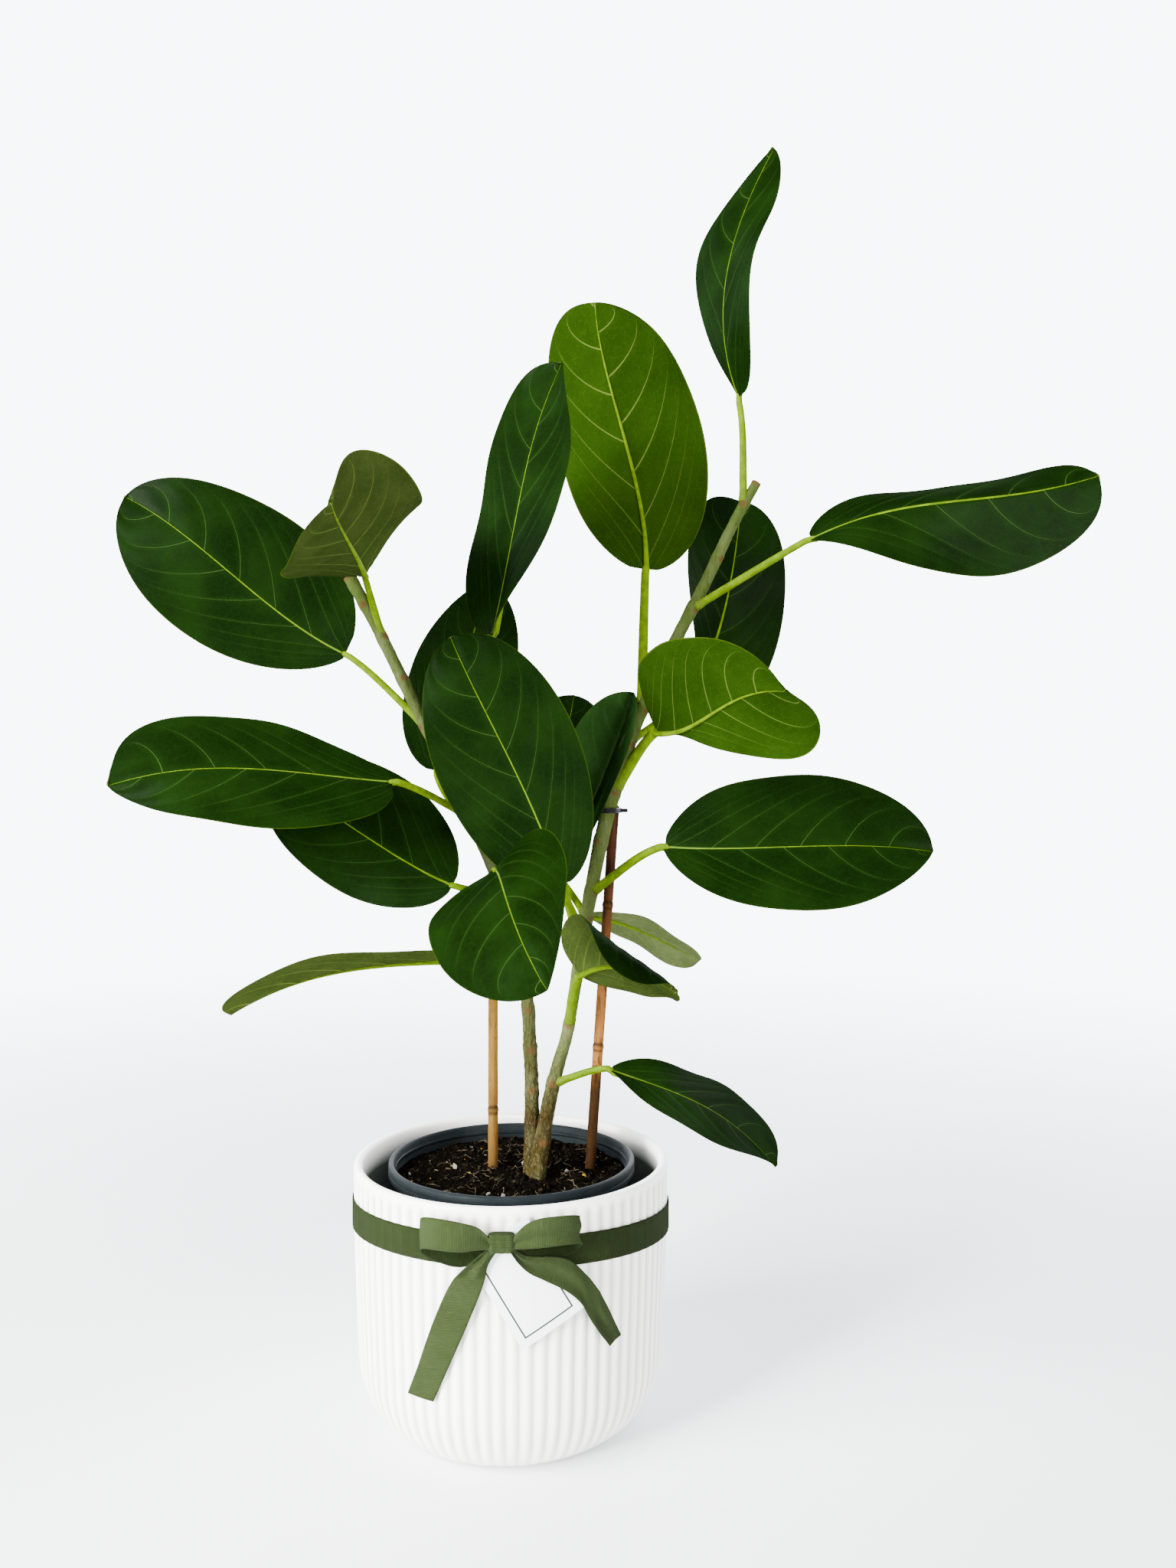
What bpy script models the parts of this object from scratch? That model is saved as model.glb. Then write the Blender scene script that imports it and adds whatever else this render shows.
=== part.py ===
"""A ficus audrey in its nursery pot, inside a fluted ceramic cachepot dressed with ribbon, bow and tag.

The origin is the centre of the cachepot's foot, +Z is up and -Y is the front. Sizes are written in
millimetres and angles in degrees; solid() turns them into metres when it makes an object.
"""
import math
from dataclasses import dataclass

import bmesh
import bpy
import numpy as np

MM = 0.001                 # one millimetre in Blender's metres
GAP = 0.3                  # clearance between pieces that touch

# Cachepot: a fluted ceramic cover pot
POT_RADIUS = 125.0
POT_HEIGHT = 203.0
POT_FOOT_RADIUS = 78.0
POT_FOOT_CURVE_RADIUS = 121.0
POT_FOOT_CURVE_HEIGHT = 58.0
POT_WALL = 7.0
POT_FLOOR = 10.0
FLUTES = 75
FLUTE_DEPTH = 1.3
PLAIN_RIM = 5.0
FLUTE_FADE = 4.0           # how far down from the plain rim the flutes reach their full depth
FLUTE_ROWS = ((3.0, 0.3), (12.0, 0.7), (28.0, 1.0), (58.0, 1.0))   # heights, with the flutes' share there
LIP_TURNS = (0, 40, 90, 140, 180)
INSIDE_STEPS = ((3, 70), (10, 32), (24, 15))   # how far in from the wall, and at what height
INSIDE_FLOOR_STEP = 38.0

# Nursery pot: thin plastic with a rolled rim, standing on the cachepot's floor
NURSERY_SIDES = 40
NURSERY_WALL = 1.5
NURSERY_BASE_RADIUS = 70.0
NURSERY_TOP_RADIUS = 93.5
NURSERY_RIM_RADIUS = 98.7
NURSERY_RIM_BOTTOM = 190.0
NURSERY_TOP = 201.5

# Soil
SOIL_LEVEL = 189.0
SOIL_RELIEF = 1.6
SOIL_EDGE_DROP = 2.0       # how much lower the soil is at the pot's wall
SOIL_RINGS = (70.0, 46.0, 5.0)
SOIL_SEED = 7

# Stem: two leaders grown from one base, as centreline points with the stem's radius at each
STEM_SIDES = 8
RIGHT_LEADER = (
    (20.5, -14, 165, 6.8), (21.5, -14, 190, 6.6), (26.5, -15, 227, 6.0), (34, -15, 265, 5.4),
    (44.5, -15, 302, 4.7), (50, -15, 333, 4.6), (59, -15, 389, 5.2), (70.5, -15, 451, 5.7),
    (83, -15, 501, 6.2), (95, -15, 538, 5.6), (111, -15, 576, 5.2), (136, -15, 625, 4.9),
    (155, -15, 662, 4.6), (176, -15, 706, 4.2), (195, -15, 740, 3.8))
LEFT_LEADER = (
    (15, -5, 165, 6.2), (15.5, -5, 190, 6.1), (16.5, -8, 253, 5.5), (15, -10, 293, 5.3),
    (12.5, -12, 333, 5.0), (1.5, -10, 381, 5.0), (-11, -6, 424, 5.1), (-34, -4, 478, 5.2),
    (-71, -2, 551, 5.0), (-96, -2, 602, 4.8), (-112, -1, 634, 4.7), (-131, 2, 668, 5.4))

# Stakes: foot, top, radius, and the heights of the bamboo's nodes
STAKE_LEFT = ((-16, 11, 25), (-16, 11, 468), 4.1, (120, 236, 352))
STAKE_RIGHT = ((52, 14, 25), (82.5, -6, 484), 4.2, (150, 289, 404))
STAKE_SIDES = 8
NODE_REACH = 3.0           # how far a node's ring reaches up and down
NODE_SWELL = 1.14          # a node's radius, and the radius just over it, beside the stake's
NODE_PINCH = 0.97
STAKE_TAPER = 0.95

# Tie that holds the right leader to its stake
TIE_HEIGHT = 480.0
TIE_WIDTH = 4.0
TIE_THICKNESS = 1.6
TIE_SIDES = 24
TIE_TAIL = 13.0            # its end's length, width and thickness
TIE_TAIL_WIDTH = 2.4
TIE_TAIL_THICKNESS = 3.0

# Ribbon
RIBBON_WIDTH = 22.0
RIBBON_THICKNESS = 1.0
BAND_TOP = 172.2           # mean height of the band's upper edge
BAND_FRONT_RISE = 11.3     # how much higher the band sits at the front than at the sides
BAND_RIGHT_RISE = -3.2     # how much higher it sits at the right than in the middle
KNOT_WIDTH = 19.0
KNOT_DEPTH = 8.5
KNOT_PLACE = 1.0           # how far right of the front the knot sits
KNOT_BOTTOM = 175.0
KNOT_TOP = 188.0
KNOT_CLEAR = 1.6           # the knot's back over the band, with the tag between them
KNOT_SIDES = 12
KNOT_SQUARENESS = 0.6      # under one flattens its sides
KNOT_END_SHARE = 0.8       # its size at its two ends
KNOT_ROUNDING = 2.0
LOOP_ROWS = 21
TAIL_ROWS = 13

# Gift tag: a bent card held under the knot
TAG_LENGTH = 78.0
TAG_WIDTH = 51.0
TAG_THICKNESS = 0.6
TAG_TILT = 31.0
TAG_CENTRE = (17.0, 150.5)
TAG_BEND_RADIUS = 220.0
TAG_TOUCH = 11.0           # where along the band the card touches it
TAG_ROWS = 7
TAG_COLUMNS = 6

# Leaves
BLADE_THICKNESS = 1.0
KEEL_DEPTH = 2.0           # how far the midrib stands out under the blade at its base
BLADE_COLUMNS = (-1.0, -0.55, -0.06, 0.0, 0.06, 0.55, 1.0)
BLADE_ROWS = 10
BLADE_START = 0.09         # the first ring of the blade, as a share of the half turn that spaces them
BLADE_END = 0.995
BLADE_LEAST_WIDTH = 0.6
KEEL_SHARE = 0.03          # how wide the midrib is, as a share of a half blade
STALK_ROWS = 4
STALK_RADIUS = 3.0
STALK_FOOT = 1.12          # a stalk's radius at its foot beside STALK_RADIUS, and what it loses on the way
STALK_LOSS = 0.22
STALK_LEAVES = 0.35        # how much of its length it keeps the way it leaves by, and the way it arrives by
STALK_ARRIVES = 0.3
WAVE_HEIGHT = 1.5
WAVES = 2
WAVE_SHIFT = 0.37          # how far the right half's waves are from the left half's


@dataclass(frozen=True)
class Half:
    """One side of a blade: how wide it is and how it stands off the plane of the leaf.

    lift turns the half towards the upper face, in degrees at the base, middle and tip. curl bends it
    further on its way to the margin. base and tip say how blunt its ends are, smaller being blunter.
    """

    width: float
    lift: tuple = (0, 0, 0)
    curl: tuple = (0, 0)
    base: float = 0.55
    tip: float = 0.5


@dataclass(frozen=True)
class Leaf:
    """A leaf: its midrib, the way its upper face looks, its halves, and where its stalk grows.

    twist turns the blade round its midrib, in degrees at the base, middle and tip. stalk is how thick the
    leaf's stalk is beside the common one.
    """

    midrib: tuple
    face: tuple
    left: Half
    right: Half
    leader: str
    height: float
    twist: tuple = (0, 0, 0)
    stalk: float = 1.0


LEAVES = (
    Leaf(((180, -20, 804), (167, -22, 873), (180, -18, 942), (209, -10, 1008)), (-0.82, -0.57, 0),
         Half(56, (-48, -4, -14), (-15, -15), 0.9, 0.37), Half(55, (19, 15, -18), base=0.42, tip=0.75),
         "right", 722),
    Leaf(((108, 12, 674), (100, 24, 752), (80, 28, 829), (67, 18, 896)), (0, 1, 0),
         Half(66, (-1, 6, -2), base=0.52, tip=0.53), Half(57, (-20, 18, 15), base=0.4, tip=0.37),
         "right", 560),
    Leaf(((-12, -60, 611), (5, -60, 696), (19, -60, 760), (41, -55, 821)), (-0.85, -0.53, 0.05),
         Half(56, (32, 5, 28), base=0.48, tip=0.42), Half(56, (29, -8, 9), base=0.41, tip=0.69),
         "left", 490),
    Leaf(((229, -55, 687), (298, -70, 708), (367, -72, 716), (445, -65, 733)), (0, -0.75, 0.66),
         Half(56, (5, -16, -6), (-20, -20), 0.6, 0.36), Half(58, (20, -42, -38), base=0.7, tip=0.44),
         "right", 640),
    Leaf(((143, 35, 572), (169, 55, 620), (184, 62, 679), (190, 45, 739)), (0, -1, 0.15),
         Half(53, (-47, -38, -50), base=1.6, tip=0.35), Half(52, (10, -8, 18), base=0.34, tip=0.44),
         "right", 533),
    Leaf(((115, -30, 542), (140, -85, 545), (161, -140, 558), (189, -190, 562)), (0.72, 0.5, 0.42),
         Half(59, (14, -12, 10), base=2.2, tip=0.46), Half(63, (-15, 0, 20), base=0.3, tip=0.44),
         "right", 494, (-8, 8, 38), 1.5),
    Leaf(((119, -45, 453), (186, -60, 453), (254, -65, 455), (322, -60, 450)), (0.1, -0.85, 0.5),
         Half(62, (28, 1, 16), base=0.58, tip=0.58), Half(59, (12, 10, 4), base=0.76, tip=0.8),
         "right", 415, stalk=1.2),
    Leaf(((78, -35, 280), (125, -50, 267), (166, -55, 247), (205, -50, 209)), (0, -0.26, 0.97),
         Half(47, (22, -3, 17), base=0.65, tip=0.37), Half(38, (10, -3, 16), base=0.95, tip=0.75),
         "right", 264),
    Leaf(((55, -38, 353), (77, -62, 364), (100, -90, 364), (124, -120, 354)), (0.65, 0.54, 0.55),
         Half(44, (20, 20, 20), tip=0.6), Half(48, (2, 15, 10), (20, -60, -240), 0.25, 0.35),
         "right", 310, stalk=1.3),
    Leaf(((57, 55, 389), (89, 65, 383), (124, 75, 367), (159, 80, 348)), (0, 0.3, 0.95),
         Half(33, (5, -6, -30), base=0.7, tip=0.3), Half(26, (5, 5, 5), base=0.7, tip=0.35), "right", 352,
         (-12, 0, 12)),
    Leaf(((-133, 2, 605), (-192, -8, 643), (-250, -8, 691), (-314, 7, 734)), (0, -0.95, 0.2),
         Half(61, (5, -5, 9), base=0.76, tip=0.58), Half(66, (12, -3, 6), base=0.43, tip=0.6), "left", 548),
    Leaf(((-116, -14, 666), (-113, -75, 681), (-114, -137, 681), (-105, -196, 688)), (-0.6, 0, 0.8),
         Half(60, (28, -7, 38), base=0.25, tip=0.28), Half(57, (26, 4, -6), base=0.57, tip=0.95),
         "left", 618),
    Leaf(((-85, -60, 503), (-153, -75, 510), (-222, -78, 513), (-300, -65, 500)), (0, -0.7, 0.7),
         Half(60, (8, 0, -17), base=0.41, tip=0.74), Half(60, (7, -2, 9), base=0.69, tip=0.23),
         "left", 474),
    Leaf(((-42, -45, 423), (-91, -32, 447), (-141, -22, 478), (-192, -15, 508)), (0, -0.87, 0.5),
         Half(47, (-14, -14, -14)), Half(58), "left", 412),
    Leaf(((41, -50, 423), (16, -72, 491), (-14, -78, 553), (-42, -66, 611)), (-0.1, -1, 0.1),
         Half(55, base=0.45, tip=0.55), Half(54), "right", 382),
    Leaf(((-7, -90, 438), (2, -145, 432), (15, -195, 408), (36, -225, 373)), (-0.35, -0.48, 0.78),
         Half(49, (22, 0, 0), base=0.3, tip=0.8), Half(57), "left", 420),
    Leaf(((-22, -30, 370), (-82, -45, 372), (-143, -55, 362), (-207, -60, 329)), (0, 0.25, 0.97),
         Half(50, (6, -2, -10), base=0.78, tip=0.36), Half(45, (-5, -5, 17), base=0.6), "left", 352),
    Leaf(((-63, 15, 511), (-52, 22, 563), (-37, 24, 614), (-19, 15, 665)), (0, -1, 0.1),
         Half(41, base=0.5, tip=0.65), Half(44), "left", 455),
    Leaf(((20, 55, 462), (31, 70, 499), (41, 82, 538), (49, 90, 579)), (0, -0.9, 0.4),
         Half(42), Half(42), "right", 395),
    Leaf(((42, -5, 430), (64, 0, 485), (84, 2, 535), (97, 0, 575)), (-0.2, -0.97, 0.1),
         Half(52, (62, 62, 62)), Half(52, (66, 66, 66)), "right", 368))

# Finishes: colour, roughness, metallic
FINISHES = {
    "ceramic": ((0.83, 0.82, 0.79), 0.35, 0.0),
    "plastic": ((0.035, 0.042, 0.048), 0.45, 0.0),
    "soil": ((0.022, 0.016, 0.012), 0.95, 0.0),
    "bark": ((0.25, 0.24, 0.13), 0.7, 0.0),
    "bamboo": ((0.42, 0.26, 0.11), 0.5, 0.0),
    "dark_bamboo": ((0.16, 0.07, 0.04), 0.5, 0.0),
    "tie": ((0.012, 0.012, 0.012), 0.6, 0.0),
    "leaf": ((0.025, 0.09, 0.012), 0.35, 0.0),
    "ribbon": ((0.055, 0.085, 0.025), 0.55, 0.0),
    "paper": ((0.86, 0.86, 0.84), 0.6, 0.0)}


def clear_scene():
    """Remove every object, so that the model starts from nothing."""
    for item in list(bpy.data.objects):
        bpy.data.objects.remove(item, do_unlink=True)


def finish(name, kind):
    """A Principled material of the object's own."""
    colour, roughness, metallic = FINISHES[kind]
    material = bpy.data.materials.new(name + "_finish")
    material.use_nodes = True
    shader = material.node_tree.nodes["Principled BSDF"]
    shader.inputs["Base Color"].default_value = (*colour, 1.0)
    shader.inputs["Roughness"].default_value = roughness
    shader.inputs["Metallic"].default_value = metallic
    return material


def solid(name, points, faces, kind):
    """Make an object from points in millimetres, with its faces turned outwards."""
    mesh = bpy.data.meshes.new(name)
    mesh.from_pydata([tuple(float(c) * MM for c in p) for p in points], [], faces)
    shape = bmesh.new()
    shape.from_mesh(mesh)
    bmesh.ops.recalc_face_normals(shape, faces=shape.faces)
    if shape.calc_volume(signed=True) < 0:
        bmesh.ops.reverse_faces(shape, faces=shape.faces)
    shape.to_mesh(mesh)
    shape.free()
    made = bpy.data.objects.new(name, mesh)
    bpy.context.collection.objects.link(made)
    mesh.materials.append(finish(name, kind))
    mesh.shade_smooth()
    mesh.set_sharp_from_angle(angle=math.radians(40))
    return made


def combine(target, tool, operation):
    """Apply one exact Boolean to the target, split into flat triangles first, and remove the tool."""
    for item in (target, tool):
        shape = bmesh.new()
        shape.from_mesh(item.data)
        bmesh.ops.triangulate(shape, faces=shape.faces)
        shape.to_mesh(item.data)
        shape.free()
    modifier = target.modifiers.new(operation, "BOOLEAN")
    modifier.operation = operation
    modifier.solver = "EXACT"
    modifier.object = tool
    graph = bpy.context.evaluated_depsgraph_get()
    result = bpy.data.meshes.new_from_object(target.evaluated_get(graph))
    target.modifiers.remove(modifier)
    old = target.data
    target.data = result
    bpy.data.meshes.remove(old)
    bpy.data.objects.remove(tool, do_unlink=True)


def unit(vector):
    """The vector, or each row of it, at length one."""
    vector = np.asarray(vector, float)
    return vector / np.linalg.norm(vector, axis=-1, keepdims=True)


def through_points(points, where):
    """A smooth curve through evenly spaced points, read at places from 0 to 1 (Catmull-Rom)."""
    points = np.asarray(points, float)
    padded = np.vstack([2 * points[0] - points[1], points, 2 * points[-1] - points[-2]])
    steps = np.clip(np.asarray(where, float), 0, 1) * (len(points) - 1)
    index = np.minimum(steps.astype(int), len(points) - 2)
    t = (steps - index)[:, None]
    a, b, c, d = (padded[index + k] for k in range(4))
    return 0.5 * (2 * b + (c - a) * t + (2 * a - 5 * b + 4 * c - d) * t**2
                  + (3 * b - a - 3 * c + d) * t**3)


def skin_faces(rings, sides):
    """Faces between rings of equal size, with each end closed by one face."""
    faces = []
    for i in range(rings - 1):
        for j in range(sides):
            k = (j + 1) % sides
            faces.append((i * sides + j, i * sides + k, (i + 1) * sides + k, (i + 1) * sides + j))
    faces.append(tuple(range(sides))[::-1])
    faces.append(tuple((rings - 1) * sides + j for j in range(sides)))
    return faces


def tube(name, centres, radii, sides, kind):
    """A round tube along centres, its rings square to the path."""
    centres = np.asarray(centres, float)
    along = unit(np.gradient(centres, axis=0))
    side = unit(np.cross(along, (0.0, 1.0, 0.0)))
    up = np.cross(side, along)
    angle = np.arange(sides) * 2 * math.pi / sides
    ring = (side[:, None] * np.cos(angle)[None, :, None] + up[:, None] * np.sin(angle)[None, :, None])
    points = centres[:, None] + ring * np.asarray(radii, float)[:, None, None]
    return solid(name, points.reshape(-1, 3), skin_faces(len(centres), sides), kind)


def lathe(name, profile, sides, kind):
    """Turn a profile of (radius, height) round the pot's axis; zero radii become poles."""
    points, rows = [], []
    for radius, height in profile:
        if radius == 0:
            rows.append([len(points)])
            points.append((0, 0, height))
            continue
        rows.append(list(range(len(points), len(points) + sides)))
        for j in range(sides):
            angle = 2 * math.pi * j / sides
            points.append((radius * math.cos(angle), radius * math.sin(angle), height))
    return solid(name, points, bridge(rows), kind)


def bridge(rows):
    """Faces between rows of points: equal rows, a fan at a pole, or several points to one."""
    faces = []
    for lower, upper in zip(rows, rows[1:]):
        if len(lower) < len(upper):
            lower, upper = upper, lower
        count, ratio = len(lower), len(lower) // len(upper)
        for j in range(count):
            k = (j + 1) % count
            if len(upper) == 1:
                faces.append((lower[j], lower[k], upper[0]))
            elif ratio == 1:
                faces.append((lower[j], lower[k], upper[k], upper[j]))
            else:
                near = upper[(j + ratio // 2) // ratio % len(upper)]
                next_near = upper[(k + ratio // 2) // ratio % len(upper)]
                faces.append((lower[j], lower[k], near))
                if near != next_near:
                    faces.append((lower[k], next_near, near))
    return faces


def pot_outside(height):
    """The cachepot's outer radius at a height: a rounded foot, then a slightly flaring wall."""
    if height < POT_FOOT_CURVE_HEIGHT:
        turn = math.acos(1 - height / POT_FOOT_CURVE_HEIGHT)
        return POT_FOOT_RADIUS + (POT_FOOT_CURVE_RADIUS - POT_FOOT_RADIUS) * math.sin(turn)
    rise = (height - POT_FOOT_CURVE_HEIGHT) / (POT_HEIGHT - POT_FOOT_CURVE_HEIGHT)
    return POT_FOOT_CURVE_RADIUS + (POT_RADIUS - POT_FOOT_CURVE_RADIUS) * math.sin(rise * math.pi / 2)


def make_cachepot():
    """The fluted cover pot: fluted outside, plain rounded lip, smooth inside and a flat floor."""
    points, rows = [], []

    def add_row(radius, height, count, depth=0.0):
        rows.append(list(range(len(points), len(points) + count)))
        for j in range(count):
            angle = 2 * math.pi * j / count
            r = radius - (depth if j % 2 else 0.0)
            points.append((r * math.cos(angle), r * math.sin(angle), height))

    def add_pole(height):
        rows.append([len(points)])
        points.append((0, 0, height))

    fluted = 2 * FLUTES        # a crest and a groove each
    plain = fluted // 3
    add_pole(0)
    add_row(POT_FOOT_RADIUS, 0, plain)
    plain_from = POT_HEIGHT - PLAIN_RIM - 2
    for height, share in (*FLUTE_ROWS, (plain_from - FLUTE_FADE, 1.0), (plain_from, 0.0)):
        add_row(pot_outside(height), height, fluted, FLUTE_DEPTH * share)
    lip = POT_WALL / 2
    for turn in LIP_TURNS:
        across = POT_RADIUS - lip + lip * math.cos(math.radians(turn))
        add_row(across, POT_HEIGHT - lip + lip * math.sin(math.radians(turn)), plain)
    inside = POT_RADIUS - POT_WALL
    for step, height in (*INSIDE_STEPS, (INSIDE_FLOOR_STEP, POT_FLOOR)):
        add_row(inside - step, height, plain)
    add_pole(POT_FLOOR)
    return solid("cachepot", points, bridge(rows), "ceramic")


def nursery_inside(height):
    """The nursery pot's inner radius at a height."""
    base = POT_FLOOR + GAP
    rise = (height - base) / (NURSERY_RIM_BOTTOM - base)
    return NURSERY_BASE_RADIUS - NURSERY_WALL + (NURSERY_TOP_RADIUS - NURSERY_BASE_RADIUS) * rise


def make_nursery_pot():
    """The plastic pot: a tapered body, a rim that stands out, and an open inside."""
    base = POT_FLOOR + GAP
    rim, top = NURSERY_RIM_RADIUS, NURSERY_TOP
    profile = [(0, base), (NURSERY_BASE_RADIUS, base),
               (NURSERY_TOP_RADIUS, NURSERY_RIM_BOTTOM), (rim, NURSERY_RIM_BOTTOM + 0.5),
               (rim, top - 2.0), (rim - 1.2, top), (rim - 4.2, top), (rim - 5.6, top - 1.6),
               (nursery_inside(NURSERY_RIM_BOTTOM), NURSERY_RIM_BOTTOM),
               (nursery_inside(base + NURSERY_WALL), base + NURSERY_WALL), (0, base + NURSERY_WALL)]
    return lathe("nursery_pot", profile, NURSERY_SIDES, "plastic")


def leader_path(leader, rows_per_point=1):
    """Centres and radii along one leader, smoothed through its points."""
    rows = (len(leader) - 1) * rows_per_point + 1
    path = through_points(leader, np.linspace(0, 1, rows))
    return path[:, :3], path[:, 3]


def make_stem(name, extra=0.0):
    """Both leaders joined into one grown stem; extra widens it into a cutter."""
    made = []
    for leader in (RIGHT_LEADER, LEFT_LEADER):
        centres, radii = leader_path(leader)
        ends = unit(centres[[0, -1]] - centres[[1, -2]]) * extra
        centres[[0, -1]] += ends
        made.append(tube(name, centres, radii + extra, STEM_SIDES, "bark"))
    combine(made[0], made[1], "UNION")
    return made[0]


def make_stake(name, stake, kind, extra=0.0):
    """A bamboo stake with a low ring at each node; extra widens it into a cutter."""
    foot, top = np.asarray(stake[0], float), np.asarray(stake[1], float)
    radius = stake[2]
    shares, radii = [0.0], [radius]
    for height in stake[3]:
        share = (height - foot[2]) / (top[2] - foot[2])
        step = NODE_REACH / (top[2] - foot[2])
        shares += [share - step, share, share + step]
        radii += [radius, radius * NODE_SWELL, radius * NODE_PINCH]
    shares += [1.0]
    radii += [radius * STAKE_TAPER]
    centres = foot + (top - foot) * np.asarray(shares)[:, None]
    centres[0] -= unit(top - foot) * extra
    return tube(name, centres, np.asarray(radii) + extra, STAKE_SIDES, kind)


def make_soil():
    """The soil that fills the nursery pot, uneven on top, with holes for the stem and the stakes."""
    random = np.random.default_rng(SOIL_SEED)
    sides = NURSERY_SIDES
    bottom = POT_FLOOR + GAP + NURSERY_WALL + GAP
    flat = math.cos(math.pi / sides)
    points, rows = [(0, 0, bottom)], [[0]]
    edge = SOIL_LEVEL - SOIL_EDGE_DROP
    walls = [(nursery_inside(height) - GAP / flat, height, 0.0) for height in (bottom, edge)]
    for radius, height, relief in (*walls, *((ring, SOIL_LEVEL, 1.0) for ring in SOIL_RINGS)):
        rows.append(list(range(len(points), len(points) + sides)))
        for j in range(sides):
            angle = 2 * math.pi * j / sides
            z = height + relief * SOIL_RELIEF * random.uniform(-1, 1)
            points.append((radius * math.cos(angle), radius * math.sin(angle), z))
    rows.append([len(points)])
    points.append((0, 0, SOIL_LEVEL))
    soil = solid("soil", points, bridge(rows), "soil")
    combine(soil, make_stem("stem_hole", GAP), "DIFFERENCE")
    combine(soil, make_stake("stake_hole", STAKE_LEFT, "bamboo", GAP), "DIFFERENCE")
    combine(soil, make_stake("stake_hole", STAKE_RIGHT, "bamboo", GAP), "DIFFERENCE")
    return soil


def at_height(leader, height):
    """Centre and radius of a leader where it passes a height."""
    centres, radii = leader_path(leader, 6)
    return (np.array([np.interp(height, centres[:, 2], centres[:, axis]) for axis in range(3)]),
            float(np.interp(height, centres[:, 2], radii)))


def make_tie():
    """A flat loop round the right leader and its stake, with one short end."""
    stem_centre, stem_radius = at_height(RIGHT_LEADER, TIE_HEIGHT)
    foot, top = np.asarray(STAKE_RIGHT[0], float), np.asarray(STAKE_RIGHT[1], float)
    stake_radius = STAKE_RIGHT[2]
    stake_centre = foot + (top - foot) * (TIE_HEIGHT - foot[2]) / (top[2] - foot[2])
    circles = ((stem_centre[:2], stem_radius), (stake_centre[:2], stake_radius))
    middle = (stem_centre[:2] + stake_centre[:2]) / 2
    sides = TIE_SIDES
    inner, outer = [], []
    for j in range(sides):
        angle = 2 * math.pi * j / sides
        way = np.array([math.cos(angle), math.sin(angle)])
        reach = max((centre - middle) @ way + radius for centre, radius in circles)
        inner.append(reach)
        outer.append(reach + GAP + TIE_THICKNESS)
    points, faces = [], []
    for reach_list in (inner, outer):
        for z in (TIE_HEIGHT - TIE_WIDTH / 2, TIE_HEIGHT + TIE_WIDTH / 2):
            for j in range(sides):
                points.append((*hull_point(middle, reach_list, j), z))
    for j in range(sides):
        k = (j + 1) % sides
        inner_low, inner_high, outer_low, outer_high = (row * sides for row in range(4))
        faces += [(inner_low + j, inner_low + k, inner_high + k, inner_high + j),
                  (outer_low + j, outer_low + k, outer_high + k, outer_high + j),
                  (inner_low + j, inner_low + k, outer_low + k, outer_low + j),
                  (inner_high + j, inner_high + k, outer_high + k, outer_high + j)]
    tie = solid("plant_tie", points, faces, "tie")
    right = max(p[0] for p in points)
    tail_front = middle[1] - 1 - TIE_TAIL_THICKNESS
    tail = box_between((right - TIE_THICKNESS, tail_front, TIE_HEIGHT - TIE_TAIL_WIDTH / 2),
                       (right + TIE_TAIL, middle[1] - 1, TIE_HEIGHT + TIE_TAIL_WIDTH / 2), "tie")
    combine(tie, tail, "UNION")
    combine(tie, make_stem("tie_cut", GAP), "DIFFERENCE")
    combine(tie, make_stake("tie_cut", STAKE_RIGHT, "tie", GAP), "DIFFERENCE")
    return tie


def hull_point(middle, reach, j):
    """A corner of the outline whose distance from the middle, measured along each way, is given."""
    count = len(reach)
    a, b = 2 * math.pi * j / count, 2 * math.pi * (j + 1) / count
    lines = np.array([[math.cos(a), math.sin(a)], [math.cos(b), math.sin(b)]])
    return middle + np.linalg.solve(lines, [reach[j], reach[(j + 1) % count]])


def box_between(low, high, kind):
    """A plain box between two corners."""
    points = [(x, y, z) for z in (low[2], high[2]) for x, y in
              ((low[0], low[1]), (high[0], low[1]), (high[0], high[1]), (low[0], high[1]))]
    return solid("box", points, skin_faces(2, 4), kind)


def by_thirds(points, t):
    """The cubic through four points at 0, 1/3, 2/3 and 1, and its slope."""
    t = np.asarray(t, float)[:, None]
    places = (0, 1 / 3, 2 / 3, 1)
    value, slope = 0, 0
    for i, point in enumerate(np.asarray(points, float)):
        a, b, c = (places[j] for j in range(4) if j != i)
        scale = (places[i] - a) * (places[i] - b) * (places[i] - c)
        value = value + point * (t - a) * (t - b) * (t - c) / scale
        slope = slope + point * ((t - b) * (t - c) + (t - a) * (t - c) + (t - a) * (t - b)) / scale
    return value, slope


def along_leaf(values, t):
    """A value that runs from base to tip: a straight run of two, or a parabola through three."""
    if len(values) == 2:
        return values[0] + (values[1] - values[0]) * t
    base, middle, tip = values
    return base * (2 * t - 1) * (t - 1) + middle * 4 * t * (1 - t) + tip * t * (2 * t - 1)


def half_width(half, t):
    """The half blade's width, rising from the base and falling to the tip as powers of the length."""
    widest = half.base / (half.base + half.tip)
    top = widest**half.base * (1 - widest)**half.tip
    return half.width * np.clip(t, 0, 1)**half.base * np.clip(1 - t, 0, 1)**half.tip / top


def blade_frame(leaf, t):
    """Midrib points with the directions along the leaf, across it to its right, and out of its face."""
    centre, slope = by_thirds(leaf.midrib, t)
    along = unit(slope)
    face = np.asarray(leaf.face, float)
    out = unit(face - (along @ face)[:, None] * along)
    across = np.cross(along, out)
    turn = np.radians(along_leaf(leaf.twist, t))[:, None]
    return (centre, along, np.cos(turn) * across - np.sin(turn) * out,
            np.cos(turn) * out + np.sin(turn) * across)


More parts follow.
